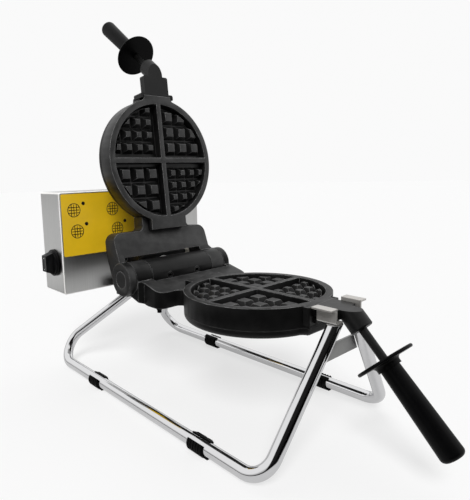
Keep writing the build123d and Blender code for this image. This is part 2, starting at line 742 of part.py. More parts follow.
with BuildPart() as housing_bolts:
    with BuildSketch(Plane.XZ.offset(-housing_flange_front)):
        with Locations(*bolt_centres):
            RegularPolygon(housing_bolt_head_width / 2, 6, major_radius=False)
    extrude(amount=housing_bolt_head_depth)
    with BuildSketch(Plane.XZ.offset(-housing_flange_front)):
        with Locations(*bolt_centres):
            Circle(housing_bolt_radius)
    extrude(amount=housing_flange_front - swivel_nut_front - housing_bolt_head_depth)
    with BuildSketch(Plane.XZ.offset(-swivel_nut_front)):
        with Locations(*bolt_centres):
            RegularPolygon(housing_bolt_head_width / 2, 6, major_radius=False)
    extrude(amount=-housing_bolt_head_depth)
save(housing_bolts.part, "housing_bolts")

# Tube loops of the stand: rail on the floor side, front leg to the saddle, rear leg to the housing
lean = math.radians(loop_lean)
rest_foot_bottom = hinge_height - face_gap - lug_depth - seat_gap - saddle_plate
rest_top = rest_foot_bottom + saddle_height
rail_half_spacing = front_leg_top + (rest_foot_bottom - rail_height) * math.tan(lean)
front_run = (hinge_height - rail_height) / math.cos(lean)
rear_run = (housing_foot_top - rail_height) / math.cos(lean)
front_slant = math.tan(math.radians(front_leg_angle))
rear_slant = math.tan(math.radians(rear_leg_angle))
front_corner = -lug_end + (rest_foot_bottom - rail_height) / math.cos(lean) * front_slant
rear_corner = rear_leg_top + (housing_foot_bottom - rail_height) / math.cos(lean) / rear_slant
saddle_front = -lug_end - saddle_overhang
clip_front_place = front_corner + clip_front_inset


def leg_place(height):
    """Distance from the middle and from the hinge of a front leg's centre line at a height."""
    rise = height - rail_height
    along_leg = rise / math.cos(lean)
    return (
        rail_half_spacing - rise * math.tan(lean),
        front_corner - along_leg * front_slant,
    )


def frame_tube(side):
    """One bent tube, cut level under the saddle and under the foot of the pivot housing."""
    loop_plane = Plane(
        origin=(side * rail_half_spacing, 0, rail_height),
        x_dir=(0, 1, 0), z_dir=(math.cos(lean), 0, side * math.sin(lean)),
    )
    with BuildPart() as tube:
        with BuildLine(loop_plane) as centre_line:
            FilletPolyline(
                (front_corner - front_run * front_slant, front_run),
                (front_corner, 0), (rear_corner, 0),
                (rear_corner - rear_run / rear_slant, rear_run),
                radius=bend_radius,
            )
        start = centre_line.line
        with BuildSketch(Plane(origin=start @ 0, z_dir=start % 0)):
            Circle(tube_radius)
            Circle(tube_radius - tube_wall, mode=Mode.SUBTRACT)
        sweep(path=centre_line.line)
        with Locations((0, front_corner, rest_foot_bottom - joint_gap)):
            Box(
                2 * rail_half_spacing, rail_half_spacing, rail_half_spacing,
                align=(Align.CENTER, Align.CENTER, Align.MIN), mode=Mode.SUBTRACT,
            )
        with Locations((0, rear_corner, housing_foot_bottom - joint_gap)):
            Box(
                2 * rail_half_spacing, 4 * rail_half_spacing, rail_half_spacing,
                align=(Align.CENTER, Align.CENTER, Align.MIN), mode=Mode.SUBTRACT,
            )
    return tube.part


save(frame_tube(-1), "left_frame_tube")
save(frame_tube(1), "right_frame_tube")

# Flat strip welded behind both front legs, its ends cut along them
front_slope = front_slant / math.cos(lean)
slope_length = math.hypot(1, front_slope)
strip_middle = leg_place(crossbar_height)[1]
strip_plane = Plane(
    origin=(0, strip_middle, crossbar_height), x_dir=(-1, 0, 0),
    z_dir=(0, 1 / slope_length, front_slope / slope_length),
).offset(tube_radius + joint_gap)
half_drop = crossbar_width / 2 / slope_length
with BuildPart() as front_crossbar:
    with BuildSketch(strip_plane):
        with BuildLine():
            top_half = leg_place(crossbar_height + half_drop)[0]
            bottom_half = leg_place(crossbar_height - half_drop)[0]
            Polyline(
                (-bottom_half, -crossbar_width / 2), (bottom_half, -crossbar_width / 2),
                (top_half, crossbar_width / 2), (-top_half, crossbar_width / 2), close=True,
            )
        make_face()
    extrude(amount=crossbar_thickness)
save(front_crossbar.part, "front_crossbar")

# Saddle: two bent plates on top of the front legs that the irons' lugs lie between
def rest_plate(side):
    """Z section with its foot flange turned inwards and its top flange outwards."""
    inner = saddle_inner_half
    outer = saddle_inner_half + saddle_plate
    with BuildPart() as plate:
        with BuildSketch(Plane.XZ.offset(-saddle_front)) as section:
            with BuildLine():
                Polyline(
                    (side * (inner - saddle_foot_flange), rest_foot_bottom),
                    (side * outer, rest_foot_bottom),
                    (side * outer, rest_top - saddle_plate),
                    (side * (outer + saddle_top_flange), rest_top - saddle_plate),
                    (side * (outer + saddle_top_flange), rest_top),
                    (side * inner, rest_top),
                    (side * inner, rest_foot_bottom + saddle_plate),
                    (side * (inner - saddle_foot_flange), rest_foot_bottom + saddle_plate),
                    close=True,
                )
            make_face()
            bends = section.vertices().filter_by(
                lambda corner: abs(abs(corner.X) - outer) < 0.1 and corner.Z < rest_foot_bottom + 0.1
                or abs(abs(corner.X) - inner) < 0.1 and corner.Z > rest_top - 0.1
            )
            fillet(bends, saddle_plate)
        extrude(amount=-saddle_length)
    return plate.part


save(rest_plate(-1), "left_rest_plate")
save(rest_plate(1), "right_rest_plate")

# Feet: split sleeves pressed onto the rails from below
def foot_clip(side, place):
    """Ribbed sleeve open at the top, with a lip on its inner side and a level pad under it."""
    half_mouth = 2 * clip_radius * math.tan(math.radians(clip_mouth / 2))
    rib_pitch = (clip_length - clip_rib) / (clip_ribs - 1)
    bands = [(clip_groove_radius, place - clip_length / 2, clip_length)]
    for rib in range(clip_ribs):
        bands.append((clip_radius, place - clip_length / 2 + rib * rib_pitch, clip_rib))
    inner_foot = tube_radius + 2 * running_clearance
    lip_root = math.radians(clip_mouth / 2 + 2)
    lip_span = math.radians(7)
    with BuildPart() as clip:
        for radius, start, length in bands:
            with BuildSketch(Plane.XZ.offset(-start)):
                with Locations((side * rail_half_spacing, rail_height)):
                    Circle(radius)
                    Circle(tube_radius + running_clearance, mode=Mode.SUBTRACT)
                    Polygon(
                        (0, 0), (half_mouth, 2 * clip_radius), (-half_mouth, 2 * clip_radius),
                        align=None, mode=Mode.SUBTRACT,
                    )
                with Locations((side * rail_half_spacing, 0)):
                    Rectangle(
                        4 * clip_radius, clip_radius,
                        align=(Align.CENTER, Align.MAX), mode=Mode.SUBTRACT,
                    )
            extrude(amount=-length)
        # lip along the inner side, leaning away from the tube
        lip_start = place - clip_length / 2 - clip_lip_overlap
        with BuildSketch(Plane.XZ.offset(-lip_start)):
            with Locations((side * rail_half_spacing, rail_height)):
                Polygon(
                    (-side * inner_foot * math.sin(lip_root), inner_foot * math.cos(lip_root)),
                    (-side * (tube_radius - clip_lip_thickness / 4), clip_lip_rise),
                    (-side * (tube_radius + 3 * clip_lip_thickness / 4), clip_lip_rise),
                    (
                        -side * clip_groove_radius * math.sin(lip_root + lip_span),
                        clip_groove_radius * math.cos(lip_root + lip_span),
                    ),
                    align=None,
                )
        extrude(amount=-(clip_length + 2 * clip_lip_overlap))
        # pad that stands on the worktop
        pad_start = place - clip_length / 2 - clip_pad_toe
        with BuildSketch(Plane.XZ.offset(-pad_start)):
            with Locations((side * rail_half_spacing, 0)):
                Rectangle(2 * clip_pad_half_width, clip_pad_depth, align=(Align.CENTER, Align.MIN))
        extrude(amount=-(clip_length + clip_pad_toe + clip_pad_heel))
    return clip.part


for side, side_name in ((-1, "left"), (1, "right")):
    for place, end_name in ((clip_front_place, "front"), (clip_rear_place, "rear")):
        save(foot_clip(side, place), f"{side_name}_{end_name}_foot")

# Control box: folded shell, open at the back behind a turned-in flange
sleeve_height = hinge_height + sleeve_rise
box_top = box_bottom + box_height
box_back = box_front + box_depth
flange_middle = box_flange / 2
back_screw_places = [
    (side * (box_half_width - flange_middle), height)
    for side in (-1, 1)
    for height in (box_bottom + flange_middle, box_bottom + box_height / 2, box_top - flange_middle)
]
sheet_hole = sleeve_radius + running_clearance + sheet
with BuildPart() as control_box_shell:
    with BuildSketch(Plane.XZ.offset(-box_front)) as box_outline:
        with Locations((0, box_bottom)):
            Rectangle(2 * box_half_width, box_height, align=(Align.CENTER, Align.MIN))
        fillet(box_outline.vertices(), box_corner)
    extrude(amount=-box_depth)
    fillet(control_box_shell.faces().sort_by(Axis.Y)[0].edges(), 0.7 * box_corner)
    offset(amount=-sheet, openings=control_box_shell.faces().sort_by(Axis.Y)[-1])
    with BuildSketch(Plane.XZ.offset(-box_back + sheet)) as flange_ring:
        with Locations((0, box_bottom + box_height / 2)):
            Rectangle(2 * box_half_width - sheet, box_height - sheet)
        fillet(flange_ring.vertices(), box_corner)
        with Locations((0, box_bottom + box_height / 2)):
            Rectangle(
                2 * (box_half_width - box_flange), box_height - 2 * box_flange, mode=Mode.SUBTRACT
            )
        with Locations(*back_screw_places):
            Circle(back_screw_radius + running_clearance, mode=Mode.SUBTRACT)
    extrude(amount=-sheet)
    with BuildSketch(Plane.XZ.offset(-box_front + sheet)):
        with Locations((0, hinge_height)):
            Circle(swivel_thread_radius + seat_clearance)
        with Locations(*bolt_centres):
            Circle(housing_bolt_radius + running_clearance)
        with Locations((sleeve_right, sleeve_height)):
            Circle(sheet_hole + running_clearance)
    extrude(amount=-3 * sheet, mode=Mode.SUBTRACT)
    with Locations(Location((-box_half_width, knob_place_y, knob_height), (0, 90, 0))):
        Cylinder(spindle_radius + seat_clearance, 4 * sheet, mode=Mode.SUBTRACT)
save(control_box_shell.part, "control_box_shell")

back_start = box_back + joint_gap
gland_centre = (gland_place_x, box_bottom + gland_height)
gland_neck_radius = (gland_radius + gland_bore) / 2
with BuildPart() as control_box_back:
    with BuildSketch(Plane.XZ.offset(-back_start)) as back_outline:
        with Locations((0, box_bottom + box_height / 2)):
            Rectangle(2 * (box_half_width - back_inset), box_height - 2 * back_inset)
        fillet(back_outline.vertices(), box_corner)
        with Locations((0, box_bottom + box_height / 2)):
            with GridLocations(vent_pitch, 0, vent_count, 1):
                SlotOverall(vent_length, vent_width, rotation=90, mode=Mode.SUBTRACT)
        with Locations(gland_centre):
            Circle(gland_neck_radius + running_clearance, mode=Mode.SUBTRACT)
        with Locations(*back_screw_places):
            Circle(back_screw_radius + running_clearance, mode=Mode.SUBTRACT)
    extrude(amount=-sheet)
save(control_box_back.part, "control_box_back")

with BuildPart() as back_screws:
    with BuildSketch(Plane.XZ.offset(-back_start - sheet)):
        with Locations(*back_screw_places):
            Circle(back_head_radius)
    extrude(amount=-back_head_depth)
    with BuildSketch(Plane.XZ.offset(-back_start - sheet)):
        with Locations(*back_screw_places):
            Circle(back_screw_radius)
    extrude(amount=back_screw_length)
save(back_screws.part, "back_screws")

# Gland where a supply cord would enter
gland_axis = Axis((gland_place_x, 0, gland_centre[1]), (0, 1, 0))
gland_seat = back_start + sheet + running_clearance
with BuildPart() as cord_gland:
    with BuildSketch(Plane.YZ.offset(gland_place_x)):
        with Locations((0, gland_centre[1])):
            Polygon(
                (back_start - gland_nut_depth, gland_bore),
                (back_start - gland_nut_depth, gland_radius - sheet),
                (back_start - running_clearance, gland_radius - sheet),
                (back_start - running_clearance, gland_neck_radius),
                (gland_seat, gland_neck_radius), (gland_seat, gland_radius),
                (gland_seat + gland_length / 2, gland_radius),
                (gland_seat + gland_length, gland_neck_radius),
                (gland_seat + gland_length, gland_bore), align=None,
            )
    revolve(axis=gland_axis)
save(cord_gland.part, "cord_gland")

# Heat control inside the left wall, with its spindle and knob
wall_inside = -box_half_width + sheet
control_side = wall_inside + seat_clearance
knob_back = -box_half_width - knob_gap
spindle_start = control_side + spindle_bite
spindle_end = knob_back - knob_bore_depth
with BuildPart() as heat_control:
    with BuildSketch(Plane(origin=(control_side, knob_place_y, knob_height), z_dir=(1, 0, 0))):
        Rectangle(control_size[1], control_size[2])
    extrude(amount=control_size[0])
    fillet(heat_control.edges().filter_by(Axis.X), 3 * sheet)
    with Locations(Location((control_side, knob_place_y, knob_height), (0, 90, 0))):
        Cylinder(
            spindle_radius + running_clearance, 2 * (spindle_bite + seat_clearance),
            mode=Mode.SUBTRACT,
        )
save(heat_control.part, "heat_control")

with BuildPart() as knob_spindle:
    with BuildSketch(Plane(origin=(spindle_start, knob_place_y, knob_height), z_dir=(-1, 0, 0))):
        Circle(spindle_radius)
    extrude(amount=spindle_start - spindle_end)
save(knob_spindle.part, "knob_spindle")

knob_plane = Plane(origin=(knob_back, knob_place_y, knob_height), z_dir=(-1, 0, 0))
with BuildPart() as control_knob:
    # upright bar grip whose ends lean in
    with BuildSketch(Plane.XZ.offset(-knob_place_y - knob_bar_width / 2)):
        Polygon(
            (knob_back, knob_height - knob_bar_reach), (knob_back - knob_skirt, knob_height - knob_bar_reach),
            (knob_back - knob_depth, knob_height - knob_bar_reach + knob_bar_taper),
            (knob_back - knob_depth, knob_height + knob_bar_reach - knob_bar_taper),
            (knob_back - knob_skirt, knob_height + knob_bar_reach), (knob_back, knob_height + knob_bar_reach),
            align=None,
        )
    extrude(amount=knob_bar_width)
    fillet(control_knob.faces().sort_by(Axis.X)[0].edges(), knob_bar_edge)
    with BuildSketch(knob_plane):
        Circle(knob_step_radius)
    extrude(amount=knob_skirt + knob_step, mode=Mode.ADD)
    with BuildSketch(knob_plane):
        Circle(knob_radius)
    extrude(amount=knob_skirt)
    fillet(
        control_knob.edges().filter_by(GeomType.CIRCLE).filter_by(
            lambda edge: abs(edge.radius - knob_radius) < joint_gap and edge.arc_center.X < knob_back - knob_skirt / 2
        ),
        knob_skirt_edge,
    )
    with BuildSketch(knob_plane):
        Circle(spindle_radius + running_clearance)
    extrude(amount=knob_bore_depth + joint_gap, mode=Mode.SUBTRACT)
save(control_knob.part, "control_knob")

# Terminal block on the inside of the box's front
terminal_front = box_inside_front + seat_clearance
terminal_pitch = terminal_size[0] / terminal_poles
with BuildPart() as terminal_block:
    with Locations((terminal_place_x, terminal_front, terminal_height)):
        Box(*terminal_size, align=(Align.CENTER, Align.MIN, Align.CENTER))
    with Locations((terminal_place_x, terminal_front + terminal_size[1], terminal_height)):
        with GridLocations(terminal_pitch, 0, terminal_poles - 1, 1):
            Box(2 * sheet, terminal_size[1], 2 * terminal_size[2], mode=Mode.SUBTRACT)
        with GridLocations(terminal_pitch, 0, terminal_poles, 1):
            with Locations(Location((0, 0, 0), (90, 0, 0))):
                Cylinder(terminal_pitch / 4, terminal_size[1] / 2, mode=Mode.SUBTRACT)
save(terminal_block.part, "terminal_block")

# Wiring sleeve: out of the barrel's back, up, along behind the slots and into the box
sleeve_start = barrel_back - barrel_gland_depth + joint_gap
sleeve_end = box_inside_front + 2 * sleeve_radius
with BuildPart() as wiring_sleeve:
    with BuildLine() as sleeve_route:
        FilletPolyline(
            (sleeve_left, sleeve_start, -sleeve_drop),
            (sleeve_left, sleeve_place_y, -sleeve_drop),
            (sleeve_left, sleeve_place_y, sleeve_rise),
            (sleeve_right, sleeve_place_y, sleeve_rise),
            (sleeve_right, sleeve_end, sleeve_rise),
            radius=sleeve_bend,
        )
    with BuildSketch(Plane(origin=sleeve_route.line @ 0, z_dir=sleeve_route.line % 0)):
        Circle(sleeve_radius)
    sweep(path=sleeve_route.line)
save(wiring_sleeve.part, "wiring_sleeve", lower_place)

with BuildPart() as sleeve_band:
    with BuildSketch(Plane.YZ.offset(band_place)):
        with Locations((sleeve_place_y, sleeve_height)):
            Circle(band_radius)
            Circle(sleeve_radius + running_clearance, mode=Mode.SUBTRACT)
    extrude(amount=band_length)
save(sleeve_band.part, "sleeve_band")

with BuildPart() as barrel_gland:
    with BuildSketch(Plane.XZ.offset(-barrel_back - joint_gap)):
        with Locations((sleeve_left, hinge_height - sleeve_drop)):
            Circle(barrel_gland_radius)
            Circle(sleeve_radius + running_clearance, mode=Mode.SUBTRACT)
    extrude(amount=-barrel_gland_depth)
save(barrel_gland.part, "barrel_gland")

with BuildPart() as sleeve_grommet:
    for radius, start, length in (
        (grommet_radius, box_front - joint_gap - grommet_depth, grommet_depth),
        (sheet_hole, box_front - 2 * joint_gap, 2 * joint_gap + 3 * sheet),
    ):
        with BuildSketch(Plane.XZ.offset(-start)):
            with Locations((sleeve_right, sleeve_height)):
                Circle(radius)
                Circle(sleeve_radius + running_clearance, mode=Mode.SUBTRACT)
        extrude(amount=-length)
save(sleeve_grommet.part, "sleeve_grommet")

# Move the origin to the floor under the middle of the machine and write the pieces
corners = [piece.bounding_box() for piece in pieces.values()]
middle_x = (min(box.min.X for box in corners) + max(box.max.X for box in corners)) / 2
middle_y = (min(box.min.Y for box in corners) + max(box.max.Y for box in corners)) / 2
for node, piece in pieces.items():
    moved = Pos(-middle_x, -middle_y, 0) * piece
    moved.label = node
    export_step(moved, f"parts/{node}.step")
print("pieces", len(pieces))
print("hinge axis through", round(-middle_x, 3), round(-middle_y, 3), hinge_height)
print("knob axis through", round(knob_back - middle_x, 3), round(knob_place_y - middle_y, 3), knob_height)
print("height", round(max(box.max.Z for box in corners), 2))
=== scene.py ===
import math

import bmesh
import bpy
from mathutils import Matrix, Vector


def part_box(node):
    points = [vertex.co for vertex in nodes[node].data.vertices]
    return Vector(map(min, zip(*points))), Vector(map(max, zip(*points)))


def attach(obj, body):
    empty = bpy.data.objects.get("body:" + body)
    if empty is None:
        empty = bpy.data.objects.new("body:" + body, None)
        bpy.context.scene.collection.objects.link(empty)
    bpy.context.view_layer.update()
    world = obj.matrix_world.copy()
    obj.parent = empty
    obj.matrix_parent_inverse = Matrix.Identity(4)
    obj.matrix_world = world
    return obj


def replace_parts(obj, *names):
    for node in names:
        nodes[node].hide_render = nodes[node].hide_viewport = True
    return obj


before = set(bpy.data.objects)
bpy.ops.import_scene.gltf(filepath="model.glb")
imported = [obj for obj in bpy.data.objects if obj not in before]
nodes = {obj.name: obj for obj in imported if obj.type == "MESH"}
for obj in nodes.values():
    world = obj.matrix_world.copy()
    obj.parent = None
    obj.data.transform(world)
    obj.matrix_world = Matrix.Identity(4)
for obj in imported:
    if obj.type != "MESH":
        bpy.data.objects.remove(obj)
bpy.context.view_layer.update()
scene = bpy.context.scene
millimetre = 0.001
print("frame loaded,", len(nodes), "pieces")


# camera, solved from the photograph: left of the grips and a little above the hinge
camera = {
    "place": (-0.43905, -0.45296, 0.32214),
    "turn": -40.833,      # degrees from straight in front, towards the left
    "rise": 7.531,        # degrees looking down
    "roll": -1.619,
    "lens": 33.247,
    "sensor": 36,
    "shift": (0.0764, -0.0283),
    "nearest": 0.01,
}


def aimCamera(c):
    turn, rise, roll = (math.radians(c[key]) for key in ("turn", "rise", "roll"))
    back = Vector((math.sin(turn) * math.cos(rise), -math.cos(turn) * math.cos(rise), math.sin(rise)))
    right = Vector((math.cos(turn), math.sin(turn), 0))
    up = back.cross(right)
    sideways = math.cos(roll) * right + math.sin(roll) * up
    upright = -math.sin(roll) * right + math.cos(roll) * up
    matrix = Matrix((sideways, upright, back)).transposed().to_4x4()
    matrix.translation = Vector(c["place"])
    data = bpy.data.cameras.new("mainCamera")
    data.lens = c["lens"]
    data.sensor_width = c["sensor"]
    data.shift_x, data.shift_y = c["shift"]
    data.clip_start = c["nearest"]
    eye = bpy.data.objects.new("mainCamera", data)
    eye.matrix_world = matrix
    scene.collection.objects.link(eye)
    scene.camera = eye


aimCamera(camera)
print("camera set")


# helpers for node trees: an input that is given a socket is linked to it, any other value is set
def connect(tree, value, socket):
    if isinstance(value, bpy.types.NodeSocket):
        tree.links.new(value, socket)
    else:
        socket.default_value = value


def addNode(tree, kind, inputs=None, **settings):
    node = tree.nodes.new(kind)
    for key, value in settings.items():
        setattr(node, key, value)
    for key, value in (inputs or {}).items():
        connect(tree, value, node.inputs[key])
    return node


def newMaterial(name):
    material = bpy.data.materials.new(name)
    material.use_nodes = True
    tree = material.node_tree
    tree.nodes.clear()
    shader = addNode(tree, "ShaderNodeBsdfPrincipled")
    addNode(tree, "ShaderNodeOutputMaterial", {"Surface": shader.outputs["BSDF"]})
    return material, tree, shader


def grey(value):
    return (value, value, value)


def ramp(tree, source, stops):
    node = addNode(tree, "ShaderNodeValToRGB", {"Fac": source})
    elements = node.color_ramp.elements
    while len(elements) < len(stops):
        elements.new(0.5)
    for element, (position, colour) in zip(elements, stops):
        element.position = position
        element.color = (*colour, 1)
    return node.outputs["Color"]


def twoTones(tree, source, first, second, limits=(0.3, 0.7)):
    return ramp(tree, source, list(zip(limits, (first, second))))


def mapRange(tree, source, before=(0, 1), after=(0, 1), smooth=False):
    inputs = {"Value": source, "From Min": before[0], "From Max": before[1],
              "To Min": after[0], "To Max": after[1]}
    kind = "SMOOTHSTEP" if smooth else "LINEAR"
    return addNode(tree, "ShaderNodeMapRange", inputs, interpolation_type=kind).outputs["Result"]


def reckon(tree, operation, *values, clamp=False):
    inputs = dict(enumerate(values))
    return addNode(tree, "ShaderNodeMath", inputs, operation=operation, use_clamp=clamp).outputs[0]


def vectorStep(tree, operation, *values):
    return addNode(tree, "ShaderNodeVectorMath", dict(enumerate(values)), operation=operation)


def dotProduct(tree, first, second):
    return vectorStep(tree, "DOT_PRODUCT", first, second).outputs["Value"]


def splitAxes(tree, vector):
    return addNode(tree, "ShaderNodeSeparateXYZ", {0: vector}).outputs


def blendColours(tree, amount, first, second):
    node = addNode(tree, "ShaderNodeMix", {"Factor": amount}, data_type="RGBA")
    for name, value in (("A", first), ("B", second)):
        socket = next(s for s in node.inputs if s.name == name and s.type == "RGBA")
        connect(tree, (*value, 1) if isinstance(value, tuple) else value, socket)
    return next(s for s in node.outputs if s.type == "RGBA")


# a noise on Object coordinates, given as its scale and its detail
def objectNoise(tree, noise, roughness=0.55, stretch=(1, 1, 1)):
    scale, detail = noise
    coords = addNode(tree, "ShaderNodeTexCoord")
    mapping = addNode(tree, "ShaderNodeMapping", {"Vector": coords.outputs["Object"], "Scale": stretch})
    inputs = {"Vector": mapping.outputs["Vector"], "Scale": scale,
              "Detail": detail, "Roughness": roughness}
    return addNode(tree, "ShaderNodeTexNoise", inputs).outputs["Fac"]


bevelSamples = 6


def roundedNormal(tree, radius):
    return addNode(tree, "ShaderNodeBevel", {"Radius": radius}, samples=bevelSamples).outputs["Normal"]


# how sharply the surface turns within a small radius: 1 along edges, 0 on flat faces
def edgeAmount(tree, rounded, turn):
    plain = addNode(tree, "ShaderNodeNewGeometry").outputs["Normal"]
    return mapRange(tree, dotProduct(tree, rounded, plain), (1 - turn[0], 1 - turn[1]))


# 1 where the surface faces between two axes, as along a fold
def foldAmount(tree, limits):
    coords = addNode(tree, "ShaderNodeTexCoord")
    axes = splitAxes(tree, vectorStep(tree, "ABSOLUTE", coords.outputs["Normal"]).outputs["Vector"])
    largest = reckon(tree, "MAXIMUM", reckon(tree, "MAXIMUM", axes["X"], axes["Y"]), axes["Z"])
    return mapRange(tree, largest, limits)


# roughness in patches, and a fine relief; a finish gives both in its dictionary
def addSurface(tree, shader, c, height, normal=None):
    patches = objectNoise(tree, c["patches"])
    connect(tree, mapRange(tree, patches, after=c["roughness"]), shader.inputs["Roughness"])
    inputs = {"Height": height, "Distance": c["depth"], "Strength": c["strength"]}
    bump = addNode(tree, "ShaderNodeBump", inputs)
    if normal is not None:
        connect(tree, normal, bump.inputs["Normal"])
    connect(tree, bump.outputs["Normal"], shader.inputs["Normal"])


# black cast iron: fine sandy grain, a pale colour along its edges that is a painted highlight and partly
# rubbed wear, and a paler tone on the faces that turn to one side, which is painted light there and partly
# wear
castIron = {
    "dark": 0.0025, "pale": 0.006, "cloud": (38, 4), "gloss": 0.30,
    # the pale edge colour is a painted highlight, partly rubbed wear
    "edge": 0.42, "edgeRadius": 1.3 * millimetre, "edgeTurn": (0.01, 0.12),
    "edgeHighlightBreaks": (120, 3), "edgeHighlightShare": (-0.5, 1.6),
    "roughness": (0.36, 0.52), "patches": (90, 3),
    "grain": (1400, 2), "depth": 0.05 * millimetre, "strength": 0.6,
}
# the covers get only a faint painted edge highlight
plainIron = {**castIron, "edge": 0.06}
# a paler tone on the faces that turn to a given side: painted light on that side, partly wear
wornAndLitIron = {**castIron, "wornAndLit": (0.018, 0.036), "wornAndLitCloud": (65, 5), "wornAndLitLimits": (0.35, 0.65)}
lowerIron = {**wornAndLitIron, "wornAndLitSide": (0, 0, 1), "wornAndLitFrom": (0.3, 0.98), "gloss": 0.16}
upperIron = {**wornAndLitIron, "wornAndLitSide": (0, -0.995, 0.099), "wornAndLitFrom": (0.6, 0.97), "gloss": 0.45}
# in a pan the paler tone and the pale edge colour fade with the depth below its foremost face: painted
# shade in its recesses
panWearAndShade = {"recessShadeDepth": (9.0 * millimetre, 1.0 * millimetre), "recessHighlightShare": (0.12, 1)}
lowerPan = {**lowerIron, **panWearAndShade, "recessPiece": "lower_grid"}
upperPan = {**upperIron, **panWearAndShade, "recessPiece": "upper_grid", "gloss": 0.52}


def castIronMaterial(c, name):
    material, tree, shader = newMaterial(name)
    colour = twoTones(tree, objectNoise(tree, c["cloud"]), grey(c["dark"]), grey(c["pale"]))
    rounded = roundedNormal(tree, c["edgeRadius"])
    # a pale colour along the edges, broken up by a noise: a painted highlight, partly rubbed wear
    highlightBreaks = mapRange(tree, objectNoise(tree, c["edgeHighlightBreaks"]), after=c["edgeHighlightShare"])
    edge = reckon(tree, "MULTIPLY", edgeAmount(tree, rounded, c["edgeTurn"]), highlightBreaks, clamp=True)
    # paler where the surface turns to the given side: painted light on that side, partly wear
    if "wornAndLitSide" in c:
        side = Vector(c["wornAndLitSide"]).normalized()
        coords = addNode(tree, "ShaderNodeTexCoord").outputs
        wornAndLit = mapRange(tree, dotProduct(tree, coords["Normal"], side), c["wornAndLitFrom"], smooth=True)
        # darker deeper below the foremost face, with a fainter edge highlight there: painted shade in the
        # recesses
        if "recessPiece" in c:
            foremost = max(vertex.co.dot(side) for vertex in nodes[c["recessPiece"]].data.vertices)
            levels = [foremost - depth for depth in c["recessShadeDepth"]]
            near = mapRange(tree, dotProduct(tree, coords["Object"], side), levels, smooth=True)
            wornAndLit = reckon(tree, "MULTIPLY", wornAndLit, near)
            edge = reckon(tree, "MULTIPLY", edge, mapRange(tree, near, after=c["recessHighlightShare"]))
        low, high = (grey(value) for value in c["wornAndLit"])
        rubbedAndLit = twoTones(tree, objectNoise(tree, c["wornAndLitCloud"]), low, high, c["wornAndLitLimits"])
        colour = blendColours(tree, wornAndLit, colour, rubbedAndLit)
    connect(tree, blendColours(tree, edge, colour, grey(c["edge"])), shader.inputs["Base Color"])
    shader.inputs["Specular IOR Level"].default_value = c["gloss"]
    addSurface(tree, shader, c, objectNoise(tree, c["grain"]), rounded)
    return material


# polished chrome of the tubes, a little wavy
chrome = {
    "colour": (0.76, 0.76, 0.77), "roughness": (0.05, 0.12), "patches": (60, 4),
    "waves": (25, 2), "depth": 0.12 * millimetre, "strength": 0.5,
}


def chromeMaterial(c, name):
    material, tree, shader = newMaterial(name)
    shader.inputs["Base Color"].default_value = (*c["colour"], 1)
    shader.inputs["Metallic"].default_value = 1
    addSurface(tree, shader, c, objectNoise(tree, c["waves"]))
    return material


# bare metal with fine lines; its rubbed edges scatter the light
bareMetal = {
    "streaks": (1, 6), "streakRoughness": 0.7, "shade": 0.86, "patches": (9, 3),
    "edgeRadius": 0.8 * millimetre, "edgeTurn": (0.02, 0.22), "metal": 1, "edgeMetal": 0.6,
    "depth": 0.02 * millimetre, "strength": 0.5,
}
# the sheet of the control box gets a pale, less metallic line along its folds, a painted highlight; the
# saddle's is duller
brushedSheet = {
    **bareMetal, "colour": (0.68, 0.68, 0.67), "roughness": (0.24, 0.40), "lines": (1500, 1500, 5),
    "foldHighlightLimits": (0.99, 0.86), "edgeMetal": 0.1, "foldHighlightColour": (1.0, 0.99, 0.96),
}
saddleSheet = {**brushedSheet, "colour": (0.64, 0.62, 0.59), "metal": 0.72}
rimSteel = {
    **bareMetal, "colour": (0.11, 0.11, 0.11), "roughness": (0.3, 0.45), "lines": (400, 400, 400),
}
screwSteel = {
    **bareMetal, "colour": (0.045, 0.045, 0.045), "roughness": (0.3, 0.42), "lines": (500, 500, 500),
}
zincPlate = {
    **bareMetal, "colour": (0.34, 0.34, 0.335), "roughness": (0.38, 0.5), "lines": (1500, 1500, 5),
}
turnedSteel = {
    **bareMetal, "colour": (0.55, 0.55, 0.54), "roughness": (0.22, 0.34), "lines": (300, 300, 300),
}
heaterSteel = {
    **bareMetal, "colour": (0.20, 0.19, 0.17), "roughness": (0.4, 0.55), "lines": (200, 200, 200),
}


def metalMaterial(c, name):
    material, tree, shader = newMaterial(name)
    lines = objectNoise(tree, c["streaks"], c["streakRoughness"], c["lines"])
    colour = twoTones(tree, lines, tuple(c["shade"] * value for value in c["colour"]), c["colour"])
    rounded = roundedNormal(tree, c["edgeRadius"])
    edge = foldAmount(tree, c["foldHighlightLimits"]) if "foldHighlightLimits" in c else edgeAmount(tree, rounded, c["edgeTurn"])
    # where a finish gives a fold colour, its folds turn pale and less metallic: a painted highlight
    colour = blendColours(tree, edge, colour, c.get("foldHighlightColour", c["colour"]))
    connect(tree, colour, shader.inputs["Base Color"])
    connect(tree, mapRange(tree, edge, after=(c["metal"], c["edgeMetal"])), shader.inputs["Metallic"])
    addSurface(tree, shader, c, lines, rounded)
    return material


